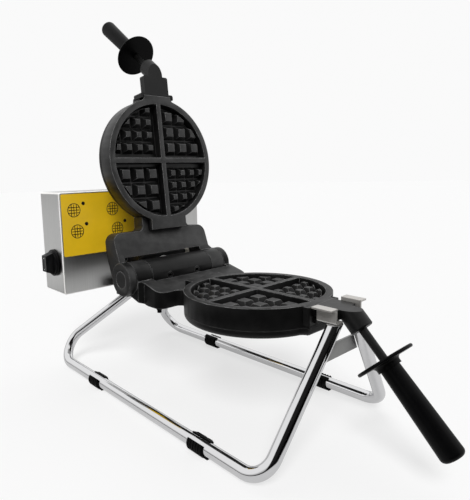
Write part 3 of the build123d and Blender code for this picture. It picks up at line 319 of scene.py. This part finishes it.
# moulded, painted and woven finishes
moulded = {
    "cloud": (45, 4), "limits": (0.3, 0.75), "patches": (70, 3), "edgeRadius": 0.6 * millimetre,
    "grain": (500, 2), "depth": 0.02 * millimetre, "strength": 0.5,
}
mouldedBlack = {
    **moulded, "colour": (0.0012, 0.0012, 0.0013), "pale": (0.0026, 0.0026, 0.0028),
    "roughness": (0.3, 0.42), "gloss": 0.09,
}
knobBlack = {
    **moulded, "colour": (0.0028, 0.0028, 0.003), "pale": (0.005, 0.005, 0.0055),
    "roughness": (0.26, 0.4), "gloss": 0.12,
}
rubberBlack = {
    **moulded, "colour": (0.0015, 0.0015, 0.0015), "pale": (0.004, 0.004, 0.004),
    "roughness": (0.5, 0.7), "gloss": 0.08, "grain": (1200, 2), "depth": 0.03 * millimetre,
}
blackSteel = {
    **moulded, "colour": (0.0035, 0.0035, 0.0035), "pale": (0.008, 0.008, 0.008),
    "roughness": (0.32, 0.46), "gloss": 0.3, "grain": (900, 2), "depth": 0.015 * millimetre,
}
palePlastic = {
    **moulded, "colour": (0.60, 0.56, 0.46), "pale": (0.66, 0.62, 0.52),
    "roughness": (0.3, 0.4), "gloss": 0.5,
}
panelInk = {
    **moulded, "colour": (0.006, 0.006, 0.007), "pale": (0.012, 0.012, 0.013),
    "roughness": (0.4, 0.5), "gloss": 0.3,
}
dotPaint = {
    **moulded, "colour": (0.62, 0.62, 0.61), "pale": (0.72, 0.72, 0.70),
    "roughness": (0.4, 0.5), "gloss": 0.4,
}
sleeveCloth = {
    **moulded, "colour": (0.012, 0.012, 0.012), "pale": (0.03, 0.03, 0.03),
    "roughness": (0.7, 0.85), "gloss": 0.3, "grain": (1500, 2), "depth": 0.15 * millimetre,
}


def mouldedMaterial(c, name):
    material, tree, shader = newMaterial(name)
    colour = twoTones(tree, objectNoise(tree, c["cloud"]), c["colour"], c["pale"], c["limits"])
    connect(tree, colour, shader.inputs["Base Color"])
    shader.inputs["Specular IOR Level"].default_value = c["gloss"]
    addSurface(tree, shader, c, objectNoise(tree, c["grain"]), roundedNormal(tree, c["edgeRadius"]))
    return material


finishes = {
    "castIron": castIronMaterial(castIron, "blackCastIron"),
    "cover": castIronMaterial(plainIron, "plainCastIron"),
    "lowerFace": castIronMaterial(lowerIron, "wornAndLitLowerFace"),
    "upperFace": castIronMaterial(upperIron, "wornAndLitUpperFace"),
    "lowerPan": castIronMaterial(lowerPan, "wornAndLitLowerPan"),
    "upperPan": castIronMaterial(upperPan, "wornAndLitUpperPan"),
    "chrome": chromeMaterial(chrome, "polishedChrome"),
    "sheet": metalMaterial(brushedSheet, "brushedSheet"),
    "saddle": metalMaterial(saddleSheet, "saddleSheet"),
    "plate": metalMaterial(zincPlate, "zincPlate"),
    "rim": metalMaterial(rimSteel, "rimSteel"),
    "screw": metalMaterial(screwSteel, "oiledScrewSteel"),
    "turned": metalMaterial(turnedSteel, "turnedSteel"),
    "heater": metalMaterial(heaterSteel, "heaterSteel"),
    "plastic": mouldedMaterial(mouldedBlack, "blackPlastic"),
    "knob": mouldedMaterial(knobBlack, "blackKnobPlastic"),
    "rubber": mouldedMaterial(rubberBlack, "blackRubber"),
    "blackSteel": mouldedMaterial(blackSteel, "blackPaintedSteel"),
    "pale": mouldedMaterial(palePlastic, "palePlastic"),
    "ink": mouldedMaterial(panelInk, "panelInk"),
    "whitePaint": mouldedMaterial(dotPaint, "whiteDotPaint"),
    "sleeve": mouldedMaterial(sleeveCloth, "sleeveCloth"),
}
print("materials made")

# a name stands for the frame piece and for its lower and upper copies
finishOf = {
    "castIron": ["hinge_barrel", "pivot_housing", "hinge_shaft"],
    "cover": ["cover"],
    "lowerFace": ["lower_hinge_casting"],
    "upperFace": ["upper_hinge_casting"],
    "lowerPan": ["lower_grid"],
    "upperPan": ["upper_grid"],
    "plate": ["front_crossbar"],
    "blackSteel": ["casting_screws", "neck_bracket", "neck_screws", "handle_lug", "handle_rod"],
    "screw": ["barrel_set_screws"],
    "chrome": ["left_frame_tube", "right_frame_tube"],
    "sheet": ["control_box_shell", "control_box_back"],
    "saddle": ["left_rest_plate", "right_rest_plate"],
    "turned": ["lug_screws", "cover_screws", "swivel_shaft", "swivel_bolts", "swivel_nut",
               "thrust_washer", "housing_bolts", "back_screws", "barrel_gland", "knob_spindle"],
    "heater": ["heater", "sensor"],
    "plastic": ["hand_guard", "grip", "cord_gland"],
    "knob": ["control_knob"],
    "rubber": ["left_front_foot", "left_rear_foot", "right_front_foot", "right_rear_foot",
               "sleeve_grommet"],
    "pale": ["heat_control", "terminal_block", "sleeve_band"],
    "sleeve": ["wiring_sleeve"],
}


def finishPieces():
    for finish, names in finishOf.items():
        for name in names:
            for node in (name, "lower_" + name, "upper_" + name):
                if node in nodes:
                    nodes[node].data.materials.clear()
                    nodes[node].data.materials.append(finishes[finish])


finishPieces()
print("frame pieces finished")


# helpers for the pieces that are made here; their places are in millimetres,
# counted from the floor below the middle of the hinge shaft
hinge = (8.9, 122.768)


def fromHinge(x, y, z):
    return Vector(((x + hinge[0]) * millimetre, (y + hinge[1]) * millimetre, z * millimetre))


def newPiece(name, mesh, body):
    piece = bpy.data.objects.new(name, mesh)
    scene.collection.objects.link(piece)
    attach(piece, body)
    return piece


def geometryTree(name, sizes):
    tree = bpy.data.node_groups.new(name, "GeometryNodeTree")
    tree.interface.new_socket("Geometry", in_out="INPUT", socket_type="NodeSocketGeometry")
    for size, value in sizes.items():
        kind = {int: "NodeSocketInt", float: "NodeSocketFloat", tuple: "NodeSocketVector"}[type(value)]
        tree.interface.new_socket(size, in_out="INPUT", socket_type=kind)
    tree.interface.new_socket("Geometry", in_out="OUTPUT", socket_type="NodeSocketGeometry")
    return tree, addNode(tree, "NodeGroupInput").outputs, addNode(tree, "NodeGroupOutput")


# an instance of the shape on every point, its Z axis turned where it has to face
def onPoints(tree, points, shape, facing=None):
    spots = addNode(tree, "GeometryNodeInstanceOnPoints", {"Points": points, "Instance": shape})
    if facing is not None:
        aim = addNode(tree, "FunctionNodeAlignRotationToVector", {"Vector": facing}, axis="Z")
        connect(tree, aim.outputs["Rotation"], spots.inputs["Rotation"])
    return spots.outputs["Instances"]


def closeTree(tree, last, out, material):
    real = addNode(tree, "GeometryNodeRealizeInstances", {"Geometry": last})
    inputs = {"Geometry": real.outputs["Geometry"], "Material": material}
    finish = addNode(tree, "GeometryNodeSetMaterial", inputs)
    connect(tree, finish.outputs["Geometry"], out.inputs["Geometry"])


# runs a tree on loose points or a route and keeps the result as a plain mesh
def grownMesh(name, tree, sizes, points, edges=()):
    seed = bpy.data.meshes.new(name)
    seed.from_pydata(points, edges, [])
    carrier = bpy.data.objects.new(name + "Carrier", seed)
    scene.collection.objects.link(carrier)
    grower = carrier.modifiers.new(name, "NODES")
    grower.node_group = tree
    sockets = {item.name: item.identifier for item in tree.interface.items_tree if item.in_out == "INPUT"}
    for size, value in sizes.items():
        grower[sockets[size]] = value
    mesh = bpy.data.meshes.new_from_object(carrier.evaluated_get(bpy.context.evaluated_depsgraph_get()))
    carrier.modifiers.remove(grower)
    bpy.data.objects.remove(carrier)
    mesh.name = name
    return mesh


# points nearer than the first value are merged; faces that meet at less than the first angle
# count as flat, and edges that turn less than the second aren't rounded (both in degrees)
smoothing = {"merge": 0.002 * millimetre, "flat": 0.6, "bevelSteps": 2, "bevelAngle": 30}


# a merged copy of a frame piece, which then stands for it
def mergedCopy(node, name, body):
    mesh = nodes[node].data.copy()
    mesh.name = name
    bm = bmesh.new()
    bm.from_mesh(mesh)
    bmesh.ops.remove_doubles(bm, verts=bm.verts, dist=smoothing["merge"])
    flat = math.radians(smoothing["flat"])
    bmesh.ops.dissolve_limit(bm, angle_limit=flat, verts=bm.verts, edges=bm.edges)
    bm.to_mesh(mesh)
    bm.free()
    piece = newPiece(name, mesh, body)
    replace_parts(piece, node)
    return piece


def roundEdges(piece, width):
    bevel = piece.modifiers.new("roundedEdges", "BEVEL")
    bevel.width = width * millimetre
    bevel.segments = smoothing["bevelSteps"]
    bevel.limit_method = "ANGLE"
    bevel.angle_limit = math.radians(smoothing["bevelAngle"])
    bevel.miter_outer = "MITER_ARC"
    bevel.harden_normals = True
    piece.data.shade_smooth()


# chrome loops of the stand: a leaning plane each side, bent at two corners, cut level at both tops
loops = {
    "radius": 8.0, "bend": 30.0, "bendSteps": 18, "sides": 56,
    "lean": 34.4, "spacing": 121.797, "railHeight": 10.5,
    "frontCorner": -289.93, "rearCorner": 207.76, "frontSlant": 5.3, "rearSlant": 46.4, "run": 215.0,
    "frontTop": 157.7, "rearTop": 126.8,
}


def loopTree():
    sizes = {"Tube radius": 0.0, "Bend radius": 0.0, "Sides": 0, "Bend steps": 0}
    tree, start, out = geometryTree("bentTube", sizes)
    route = addNode(tree, "GeometryNodeMeshToCurve", {"Mesh": start["Geometry"]})
    inputs = {"Curve": route.outputs["Curve"], "Radius": start["Bend radius"],
              "Count": start["Bend steps"]}
    bent = addNode(tree, "GeometryNodeFilletCurve", inputs, mode="POLY")
    inputs = {"Radius": start["Tube radius"], "Resolution": start["Sides"]}
    ring = addNode(tree, "GeometryNodeCurvePrimitiveCircle", inputs)
    inputs = {"Curve": bent.outputs["Curve"], "Profile Curve": ring.outputs["Curve"], "Fill Caps": True}
    tube = addNode(tree, "GeometryNodeCurveToMesh", inputs)
    smooth = addNode(tree, "GeometryNodeSetShadeSmooth", {"Geometry": tube.outputs["Mesh"]})
    closeTree(tree, smooth.outputs["Geometry"], out, finishes["chrome"])
    return tree


# cuts the front or the rear half of a mesh level and closes it with a sharp-edged cap
def cutLevel(mesh, cuts):
    bm = bmesh.new()
    bm.from_mesh(mesh)
    for front, height in cuts:
        part = [v for v in bm.verts if (v.co.y < 0) == front]
        inPart = set(part)
        geom = part + [e for e in bm.edges if set(e.verts) <= inPart]
        geom += [f for f in bm.faces if set(f.verts) <= inPart]
        level = (0, 0, height * millimetre)
        bmesh.ops.bisect_plane(bm, geom=geom, plane_co=level, plane_no=(0, 0, 1), clear_outer=True)
        rim = [e for e in bm.edges if e.is_boundary]
        for face in bmesh.ops.holes_fill(bm, edges=rim, sides=0)["faces"]:
            face.smooth = False
            for edge in face.edges:
                edge.smooth = False
    bmesh.ops.recalc_face_normals(bm, faces=bm.faces)
    bm.to_mesh(mesh)
    bm.free()


def makeLoops(c):
    tree = loopTree()
    lean = math.radians(c["lean"])
    frontRise = math.tan(math.radians(c["frontSlant"])) * c["run"]
    rearRise = c["run"] / math.tan(math.radians(c["rearSlant"]))
    inPlane = [(c["frontCorner"] - frontRise, c["run"]), (c["frontCorner"], 0),
               (c["rearCorner"], 0), (c["rearCorner"] - rearRise, c["run"])]
    sizes = {"Tube radius": c["radius"] * millimetre, "Bend radius": c["bend"] * millimetre,
             "Sides": c["sides"], "Bend steps": c["bendSteps"]}
    for side, name in ((-1, "left"), (1, "right")):
        points = []
        for y, up in inPlane:
            x = side * (c["spacing"] - up * math.sin(lean))
            points.append(fromHinge(x, y, c["railHeight"] + up * math.cos(lean)))
        mesh = grownMesh(f"{name}_chrome_loop", tree, sizes, points, [(0, 1), (1, 2), (2, 3)])
        cutLevel(mesh, ((True, c["frontTop"]), (False, c["rearTop"])))
        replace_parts(newPiece(mesh.name, mesh, "stand"), f"{name}_frame_tube")


makeLoops(loops)
print("chrome loops made")


# ribbed clips under the rails: the inner lip hooks over the tube
clips = {
    "above": 20.5,            # what lies higher in the frame piece is the lip's upper edge
    "inner": (2.15, 8.05),    # where that goes, across and up from the middle of the tube
    "outer": (2.5, 9.15),
    "edge": 0.3,
}


def makeClips(c, tube):
    for side, name in ((-1, "left"), (1, "right")):
        for end in ("front", "rear"):
            piece = mergedCopy(f"{name}_{end}_foot", f"{name}_{end}_clip", "stand")
            middle = hinge[0] + side * tube["spacing"]
            lip = [v for v in piece.data.vertices if v.co.z > c["above"] * millimetre]
            away = [abs(v.co.x / millimetre - middle) for v in lip]
            for vertex, distance in zip(lip, away):
                across, up = c["outer"] if distance > (min(away) + max(away)) / 2 else c["inner"]
                vertex.co.x = (middle - side * across) * millimetre
                vertex.co.z = (tube["railHeight"] + up) * millimetre
            roundEdges(piece, c["edge"])


makeClips(clips, loops)
print("clips made")


# castings and moulded parts get the rounded edges that sand moulds and tools leave
rounding = {
    # node: width of the rounding, body, material slot
    "lower_grid": (0.9, "lower_iron", "cast_iron"),
    "upper_grid": (0.9, "upper_iron", "cast_iron"),
    "lower_hinge_casting": (2.0, "lower_iron", "cast_iron"),
    "upper_hinge_casting": (2.0, "upper_iron", "cast_iron"),
    "hinge_barrel": (0.8, "stand", "cast_iron"),
    "control_knob": (0.8, "knob", "black_plastic"),
}


def roundCastings(table):
    for node, (width, body, slot) in table.items():
        roundEdges(mergedCopy(node, node + "_rounded", body), width)


roundCastings(rounding)
print("castings rounded")


# flat crossbar between the front legs, cut short of the tubes' outer sides
crossbar = {"share": 0.91, "edge": 0.5}


def makeCrossbar(c):
    piece = mergedCopy("front_crossbar", "front_crossbar_strip", "stand")
    middle = hinge[0] * millimetre
    for vertex in piece.data.vertices:
        vertex.co.x = middle + (vertex.co.x - middle) * c["share"]
    roundEdges(piece, c["edge"])


makeCrossbar(crossbar)


# fine turned rims round the set screws and the ends of the hinge shaft, and dark shims between its
# knuckles that also stand for the shade in their seams: painted shade
rims = {
    "wire": 0.45, "steps": 40, "wireSteps": 10, "height": 172,
    "rows": [
        # name, ring radius, facing, places across and along
        ("set_screw_rims", 5.1, (0.0, -1.0, 0.0), [(-27, -24.1), (27, -24.1)]),
        ("set_screw_sockets", 2.9, (0.0, -1.0, 0.0), [(-27, -23.9), (27, -23.9)]),
        ("shaft_end_rims", 13.0, (1.0, 0.0, 0.0), [(-99.3, 0), (99.3, 0)]),
        # dark shims that stand for the shade in the knuckle seams: painted shade
        ("knuckle_shims_seam_shade", 24.4, (1.0, 0.0, 0.0), [(-88, 0), (-59.7, 0), (59.7, 0), (88, 0)]),
    ],
}


def rimTree(c):
    sizes = {"Ring radius": 0.0, "Wire radius": 0.0, "Steps": 0, "Facing": (0.0, 0.0, 0.0)}
    tree, start, out = geometryTree("turnedRim", sizes)
    inputs = {"Radius": start["Ring radius"], "Resolution": start["Steps"]}
    ring = addNode(tree, "GeometryNodeCurvePrimitiveCircle", inputs)
    inputs = {"Radius": start["Wire radius"], "Resolution": c["wireSteps"]}
    wire = addNode(tree, "GeometryNodeCurvePrimitiveCircle", inputs)
    inputs = {"Curve": ring.outputs["Curve"], "Profile Curve": wire.outputs["Curve"]}
    body = addNode(tree, "GeometryNodeCurveToMesh", inputs)
    smooth = addNode(tree, "GeometryNodeSetShadeSmooth", {"Geometry": body.outputs["Mesh"]})
    rows = onPoints(tree, start["Geometry"], smooth.outputs["Geometry"], start["Facing"])
    closeTree(tree, rows, out, finishes["rim"])
    return tree


def makeRims(c):
    tree = rimTree(c)
    for name, radius, facing, spots in c["rows"]:
        sizes = {"Ring radius": radius * millimetre, "Wire radius": c["wire"] * millimetre,
                 "Steps": c["steps"], "Facing": facing}
        points = [fromHinge(x, y, c["height"]) for x, y in spots]
        newPiece(name, grownMesh(name, tree, sizes, points), "stand")


makeRims(rims)
print("crossbar and rims made")


# yellow panel on the front of the box: plain enamel
panel = {
    "left": -0.1294, "right": 0.0029, "low": 0.1995, "high": 0.2978,
    "front": 0.224768,                  # the box's own face
    "thick": 0.5 * millimetre, "corner": 2.5 * millimetre, "cornerSteps": 6,
    "colour": (0.98, 0.62, 0.016), "shade": 0.9, "cloud": (30, 4),
    "roughness": (0.28, 0.42), "patches": (60, 3),
    "grain": (400, 2), "depth": 0.01 * millimetre, "strength": 0.4,
}


def roundedOutline(p):
    corner, steps = p["corner"], p["cornerSteps"]
    left, right = p["left"] + corner, p["right"] - corner
    low, high = p["low"] + corner, p["high"] - corner
    points = []
    for x, z, start in ((right, high, 0), (left, high, 90), (left, low, 180), (right, low, 270)):
        for step in range(steps + 1):
            angle = math.radians(start + 90 * step / steps)
            points.append((x + corner * math.cos(angle), z + corner * math.sin(angle)))
    return points


def panelMaterial(p):
    material, tree, shader = newMaterial("yellowEnamel")
    low = tuple(p["shade"] * value for value in p["colour"])
    colour = twoTones(tree, objectNoise(tree, p["cloud"]), low, p["colour"])
    connect(tree, colour, shader.inputs["Base Color"])
    addSurface(tree, shader, p, objectNoise(tree, p["grain"]))
    return material


def makePanel(p):
    mesh = bpy.data.meshes.new("front_panel")
    bm = bmesh.new()
    face = bm.faces.new([bm.verts.new((x, p["front"], z)) for x, z in roundedOutline(p)])
    pushed = bmesh.ops.extrude_face_region(bm, geom=[face])
    moved = [v for v in pushed["geom"] if isinstance(v, bmesh.types.BMVert)]
    bmesh.ops.translate(bm, verts=moved, vec=(0, -p["thick"], 0))
    bmesh.ops.recalc_face_normals(bm, faces=bm.faces)
    bm.to_mesh(mesh)
    bm.free()
    mesh.materials.append(panelMaterial(p))
    newPiece("front_panel", mesh, "stand")


makePanel(panel)


# plain ornament on the panel: round waffle signs with a small disc beside each
marks = {
    "depth": 0.16, "proud": 0.12,          # how far it stands out of the enamel, with its back let in
    "signs": [(-108.5, 272), (-104.5, 238), (-39, 270), (-31, 236)],
    "signRadius": 10.5, "line": 1.1, "steps": 40,
    "bars": 3, "barSpacing": 0.42, "barReach": 1.72,      # spacing and reach in radii
    "discs": [(-92, 282), (-88, 249), (-22, 284), (-16, 248)],
    "discRadius": 3.0, "discSides": 28,
}


def waffleSignTree(c):
    sizes = {"Radius": 0.0, "Line": 0.0, "Depth": 0.0, "Rows": 0}
    tree, start, out = geometryTree("waffleSign", sizes)
    inputs = {"Radius": start["Radius"], "Resolution": c["steps"]}
    ring = addNode(tree, "GeometryNodeCurvePrimitiveCircle", inputs)
    inputs = {"Width": start["Line"], "Height": start["Depth"]}
    section = addNode(tree, "GeometryNodeCurvePrimitiveQuadrilateral", inputs)
    inputs = {"Curve": ring.outputs["Curve"], "Profile Curve": section.outputs["Curve"]}
    band = addNode(tree, "GeometryNodeCurveToMesh", inputs)
    joined = addNode(tree, "GeometryNodeJoinGeometry", {"Geometry": band.outputs["Mesh"]})
    spacing = reckon(tree, "MULTIPLY", start["Radius"], c["barSpacing"])
    reach = reckon(tree, "MULTIPLY", start["Radius"], c["barReach"])
    back = reckon(tree, "MULTIPLY", spacing, -1.0)
    for across in (0, 1):                    # bars one way, then the other
        inputs = {across: reach, 1 - across: start["Line"], 2: start["Depth"]}
        size = addNode(tree, "ShaderNodeCombineXYZ", inputs)
        first = addNode(tree, "ShaderNodeCombineXYZ", {1 - across: back})
        step = addNode(tree, "ShaderNodeCombineXYZ", {1 - across: spacing})
        bar = addNode(tree, "GeometryNodeMeshCube", {"Size": size.outputs[0]})
        inputs = {"Count": start["Rows"], "Start Location": first.outputs[0], "Offset": step.outputs[0]}
        line = addNode(tree, "GeometryNodeMeshLine", inputs, mode="OFFSET")
        connect(tree, onPoints(tree, line.outputs["Mesh"], bar.outputs["Mesh"]), joined.inputs["Geometry"])
    inputs = {"Geometry": joined.outputs["Geometry"], "Rotation": (math.pi / 2, 0, 0)}
    upright = addNode(tree, "GeometryNodeTransform", inputs)
    closeTree(tree, onPoints(tree, start["Geometry"], upright.outputs["Geometry"]), out, finishes["ink"])
    return tree


def discTree(material):
    sizes = {"Radius": 0.0, "Depth": 0.0, "Sides": 0, "Facing": (0.0, 0.0, 0.0)}
    tree, start, out = geometryTree("smallDisc", sizes)
    inputs = {"Radius": start["Radius"], "Depth": start["Depth"], "Vertices": start["Sides"]}
    disc = addNode(tree, "GeometryNodeMeshCylinder", inputs)
    rows = onPoints(tree, start["Geometry"], disc.outputs["Mesh"], start["Facing"])
    closeTree(tree, rows, out, material)
    return tree


def makeDiscs(name, finish, c, facing, points, body):
    sizes = {"Radius": c["discRadius"] * millimetre, "Depth": c["depth"] * millimetre,
             "Sides": c["discSides"], "Facing": facing}
    return newPiece(name, grownMesh(name, discTree(finishes[finish]), sizes, points), body)


def makeMarks(c, p):
    front = p["front"] - p["thick"] + (c["depth"] / 2 - c["proud"]) * millimetre
    signs, discs = ([(x * millimetre, front, z * millimetre) for x, z in c[key]]
                    for key in ("signs", "discs"))
    sizes = {"Radius": c["signRadius"] * millimetre, "Line": c["line"] * millimetre,
             "Depth": c["depth"] * millimetre, "Rows": c["bars"]}
    mesh = grownMesh("panel_signs", waffleSignTree(c), sizes, signs)
    newPiece("panel_signs", mesh, "stand")
    makeDiscs("panel_discs", "ink", c, (0.0, -1.0, 0.0), discs, "stand")


makeMarks(marks, panel)


# two white dots that show where the knob points; its bar is let in, so that they stay in its outline
dots = {
    "discRadius": 1.0, "depth": 0.3, "discSides": 20, "apart": 9.0,
    "middle": 0.52,                         # of the depth, from the bar's outer side
    "letIn": 0.12, "tolerance": 0.01,
}


def makeDots(c):
    low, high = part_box("control_knob")
    for vertex in bpy.data.objects["control_knob_rounded"].data.vertices:
        if vertex.co.x < low[0] + c["tolerance"] * millimetre:
            vertex.co.x += c["letIn"] * millimetre
    x = low[0] + c["depth"] * c["middle"] * millimetre
    y, z = (low[1] + high[1]) / 2, (low[2] + high[2]) / 2
    points = [(x, y, z + way * c["apart"] * millimetre) for way in (-1, 1)]
    makeDiscs("knob_dots", "whitePaint", c, (-1.0, 0.0, 0.0), points, "knob")


makeDots(dots)
print("panel and knob marked")


# rubber tip of the stop screw under the lower hinge casting
tip = {"place": (-66.0, -46.2, 128.5), "discRadius": 3.2, "depth": 6.0, "discSides": 32, "edge": 0.6}


def makeTip(c):
    place = [fromHinge(*c["place"])]
    facing = (0.0, 0.0, 1.0)
    piece = makeDiscs("stop_screw_tip", "rubber", c, facing, place, "lower_iron")
    roundEdges(piece, c["edge"])


makeTip(tip)
print("stop screw tipped")


# studio: pale floor that keeps the shadow, white surroundings, two soft lamps
studio = {
    "floorHalf": 12.0, "floor": 0.30, "floorRoughness": 0.9, "floorGlow": 0.645, "mirroredFloor": 0.60,
    # where the floor that metal mirrors turns from dark to lit: aside of a slanting line and by its sides
    "darkSlant": 0.33, "darkAside": (-0.20, -0.145), "darkFront": (-0.36, -0.27),
    "darkLeft": (-0.32, -0.20), "darkRear": (0.55, 0.85),
    "world": 0.30, "white": 0.955,
    # what the metal mirrors, by height from the ground (0) to straight up (1)
    "sky": [(0.0, 0.30), (0.05, 0.38), (0.13, 0.62), (0.26, 0.95), (1.0, 0.95)],
    # dark room behind the camera: its depth, its heading with the half widths of its core
    # and edge, and its top
    "room": 0.985, "roomAngles": (-35.5, 39, 50), "roomTop": (0.62, 0.78),
    "lamps": [
        # direction it comes from, level, width in degrees
        ((-0.64, -0.58, 0.86), 0.84, 24),
        ((0.45, 0.30, 1.0), 0.20, 50),
    ],
}


# sockets that are 1 for what the camera sees, and for what is mirrored or seen through
def rayKinds(tree):
    path = addNode(tree, "ShaderNodeLightPath").outputs
    mirrored = reckon(tree, "MAXIMUM", path["Is Glossy Ray"], path["Is Transmission Ray"])
    return path["Is Camera Ray"], mirrored


def floorMaterial(s):
    material, tree, shader = newMaterial("paleFloor")
    direct, mirrored = rayKinds(tree)
    axes = splitAxes(tree, addNode(tree, "ShaderNodeTexCoord").outputs["Object"])
    x, y = axes["X"], axes["Y"]
    # the dark room behind the camera also darkens what metal sees of the floor there
    slant = reckon(tree, "MULTIPLY_ADD", y, s["darkSlant"], x)
    aside = mapRange(tree, slant, s["darkAside"], smooth=True)
    front = mapRange(tree, y, s["darkFront"], smooth=True)
    left = mapRange(tree, x, s["darkLeft"], smooth=True)
    rear = mapRange(tree, y, s["darkRear"], smooth=True)
    ahead, beside = reckon(tree, "MAXIMUM", aside, front), reckon(tree, "MAXIMUM", left, rear)
    lit = reckon(tree, "MULTIPLY", ahead, beside)
    unlit = reckon(tree, "MULTIPLY", mirrored, reckon(tree, "SUBTRACT", 1.0, lit))
    connect(tree, twoTones(tree, unlit, grey(s["floor"]), grey(0), (0, 1)), shader.inputs["Base Color"])
    shader.inputs["Roughness"].default_value = s["floorRoughness"]
    shader.inputs["Specular IOR Level"].default_value = 0
    level = reckon(tree, "MAXIMUM", reckon(tree, "MULTIPLY", lit, s["mirroredFloor"]), direct)
    level = reckon(tree, "MULTIPLY", reckon(tree, "MAXIMUM", direct, mirrored), level)
    strength = reckon(tree, "MULTIPLY", level, s["floorGlow"])
    glow = addNode(tree, "ShaderNodeEmission", {"Strength": strength})
    both = addNode(tree, "ShaderNodeAddShader", {0: shader.outputs["BSDF"], 1: glow.outputs[0]})
    out = next(node for node in tree.nodes if node.type == "OUTPUT_MATERIAL")
    connect(tree, both.outputs[0], out.inputs["Surface"])
    return material


def makeFloor(s):
    half = s["floorHalf"]
    mesh = bpy.data.meshes.new("floor")
    corners = [(-half, -half, 0), (half, -half, 0), (half, half, 0), (-half, half, 0)]
    mesh.from_pydata(corners, [], [(0, 1, 2, 3)])
    mesh.materials.append(floorMaterial(s))
    floor = bpy.data.objects.new("floor", mesh)
    scene.collection.objects.link(floor)


def backdrop(tree, colour, strength):
    return addNode(tree, "ShaderNodeBackground", {"Color": colour, "Strength": strength}).outputs[0]


def mixShaders(tree, amount, first, second):
    return addNode(tree, "ShaderNodeMixShader", {"Fac": amount, 1: first, 2: second}).outputs[0]


def makeWorld(s):
    world = bpy.data.worlds.new("studio")
    scene.world = world
    world.use_nodes = True
    tree = world.node_tree
    tree.nodes.clear()
    direct, mirrored = rayKinds(tree)
    sight = addNode(tree, "ShaderNodeTexCoord").outputs["Generated"]
    height = splitAxes(tree, sight)["Z"]
    level = vectorStep(tree, "MULTIPLY", sight, (1, 1, 0)).outputs["Vector"]
    heading = vectorStep(tree, "NORMALIZE", level).outputs["Vector"]
    middle, core, edge = (math.radians(angle) for angle in s["roomAngles"])
    towards = dotProduct(tree, heading, (math.sin(middle), -math.cos(middle), 0))
    aside = mapRange(tree, towards, (math.cos(edge), math.cos(core)), smooth=True)
    under = mapRange(tree, height, s["roomTop"], (s["room"], 0), smooth=True)
    shade = mapRange(tree, reckon(tree, "MULTIPLY", aside, under), after=(1, 0))
    sky = ramp(tree, height, [(up, grey(value)) for up, value in s["sky"]])
    white = (1, 1, 1, 1)
    seen = mixShaders(tree, direct, backdrop(tree, white, s["world"]), backdrop(tree, white, s["white"]))
    surroundings = mixShaders(tree, mirrored, seen, backdrop(tree, sky, shade))
    addNode(tree, "ShaderNodeOutputWorld", {"Surface": surroundings})


def makeLamps(s):
    for i, (towards, level, width) in enumerate(s["lamps"]):
        data = bpy.data.lights.new(f"softLamp{i}", "SUN")
        data.energy = math.pi * level
        data.angle = math.radians(width)
        lamp = bpy.data.objects.new(f"softLamp{i}", data)
        lamp.visible_glossy = False
        lamp.rotation_euler = Vector(towards).to_track_quat("Z", "Y").to_euler()
        scene.collection.objects.link(lamp)


makeFloor(studio)
makeWorld(studio)
makeLamps(studio)
scene.view_settings.view_transform = "Standard"
print("studio set")
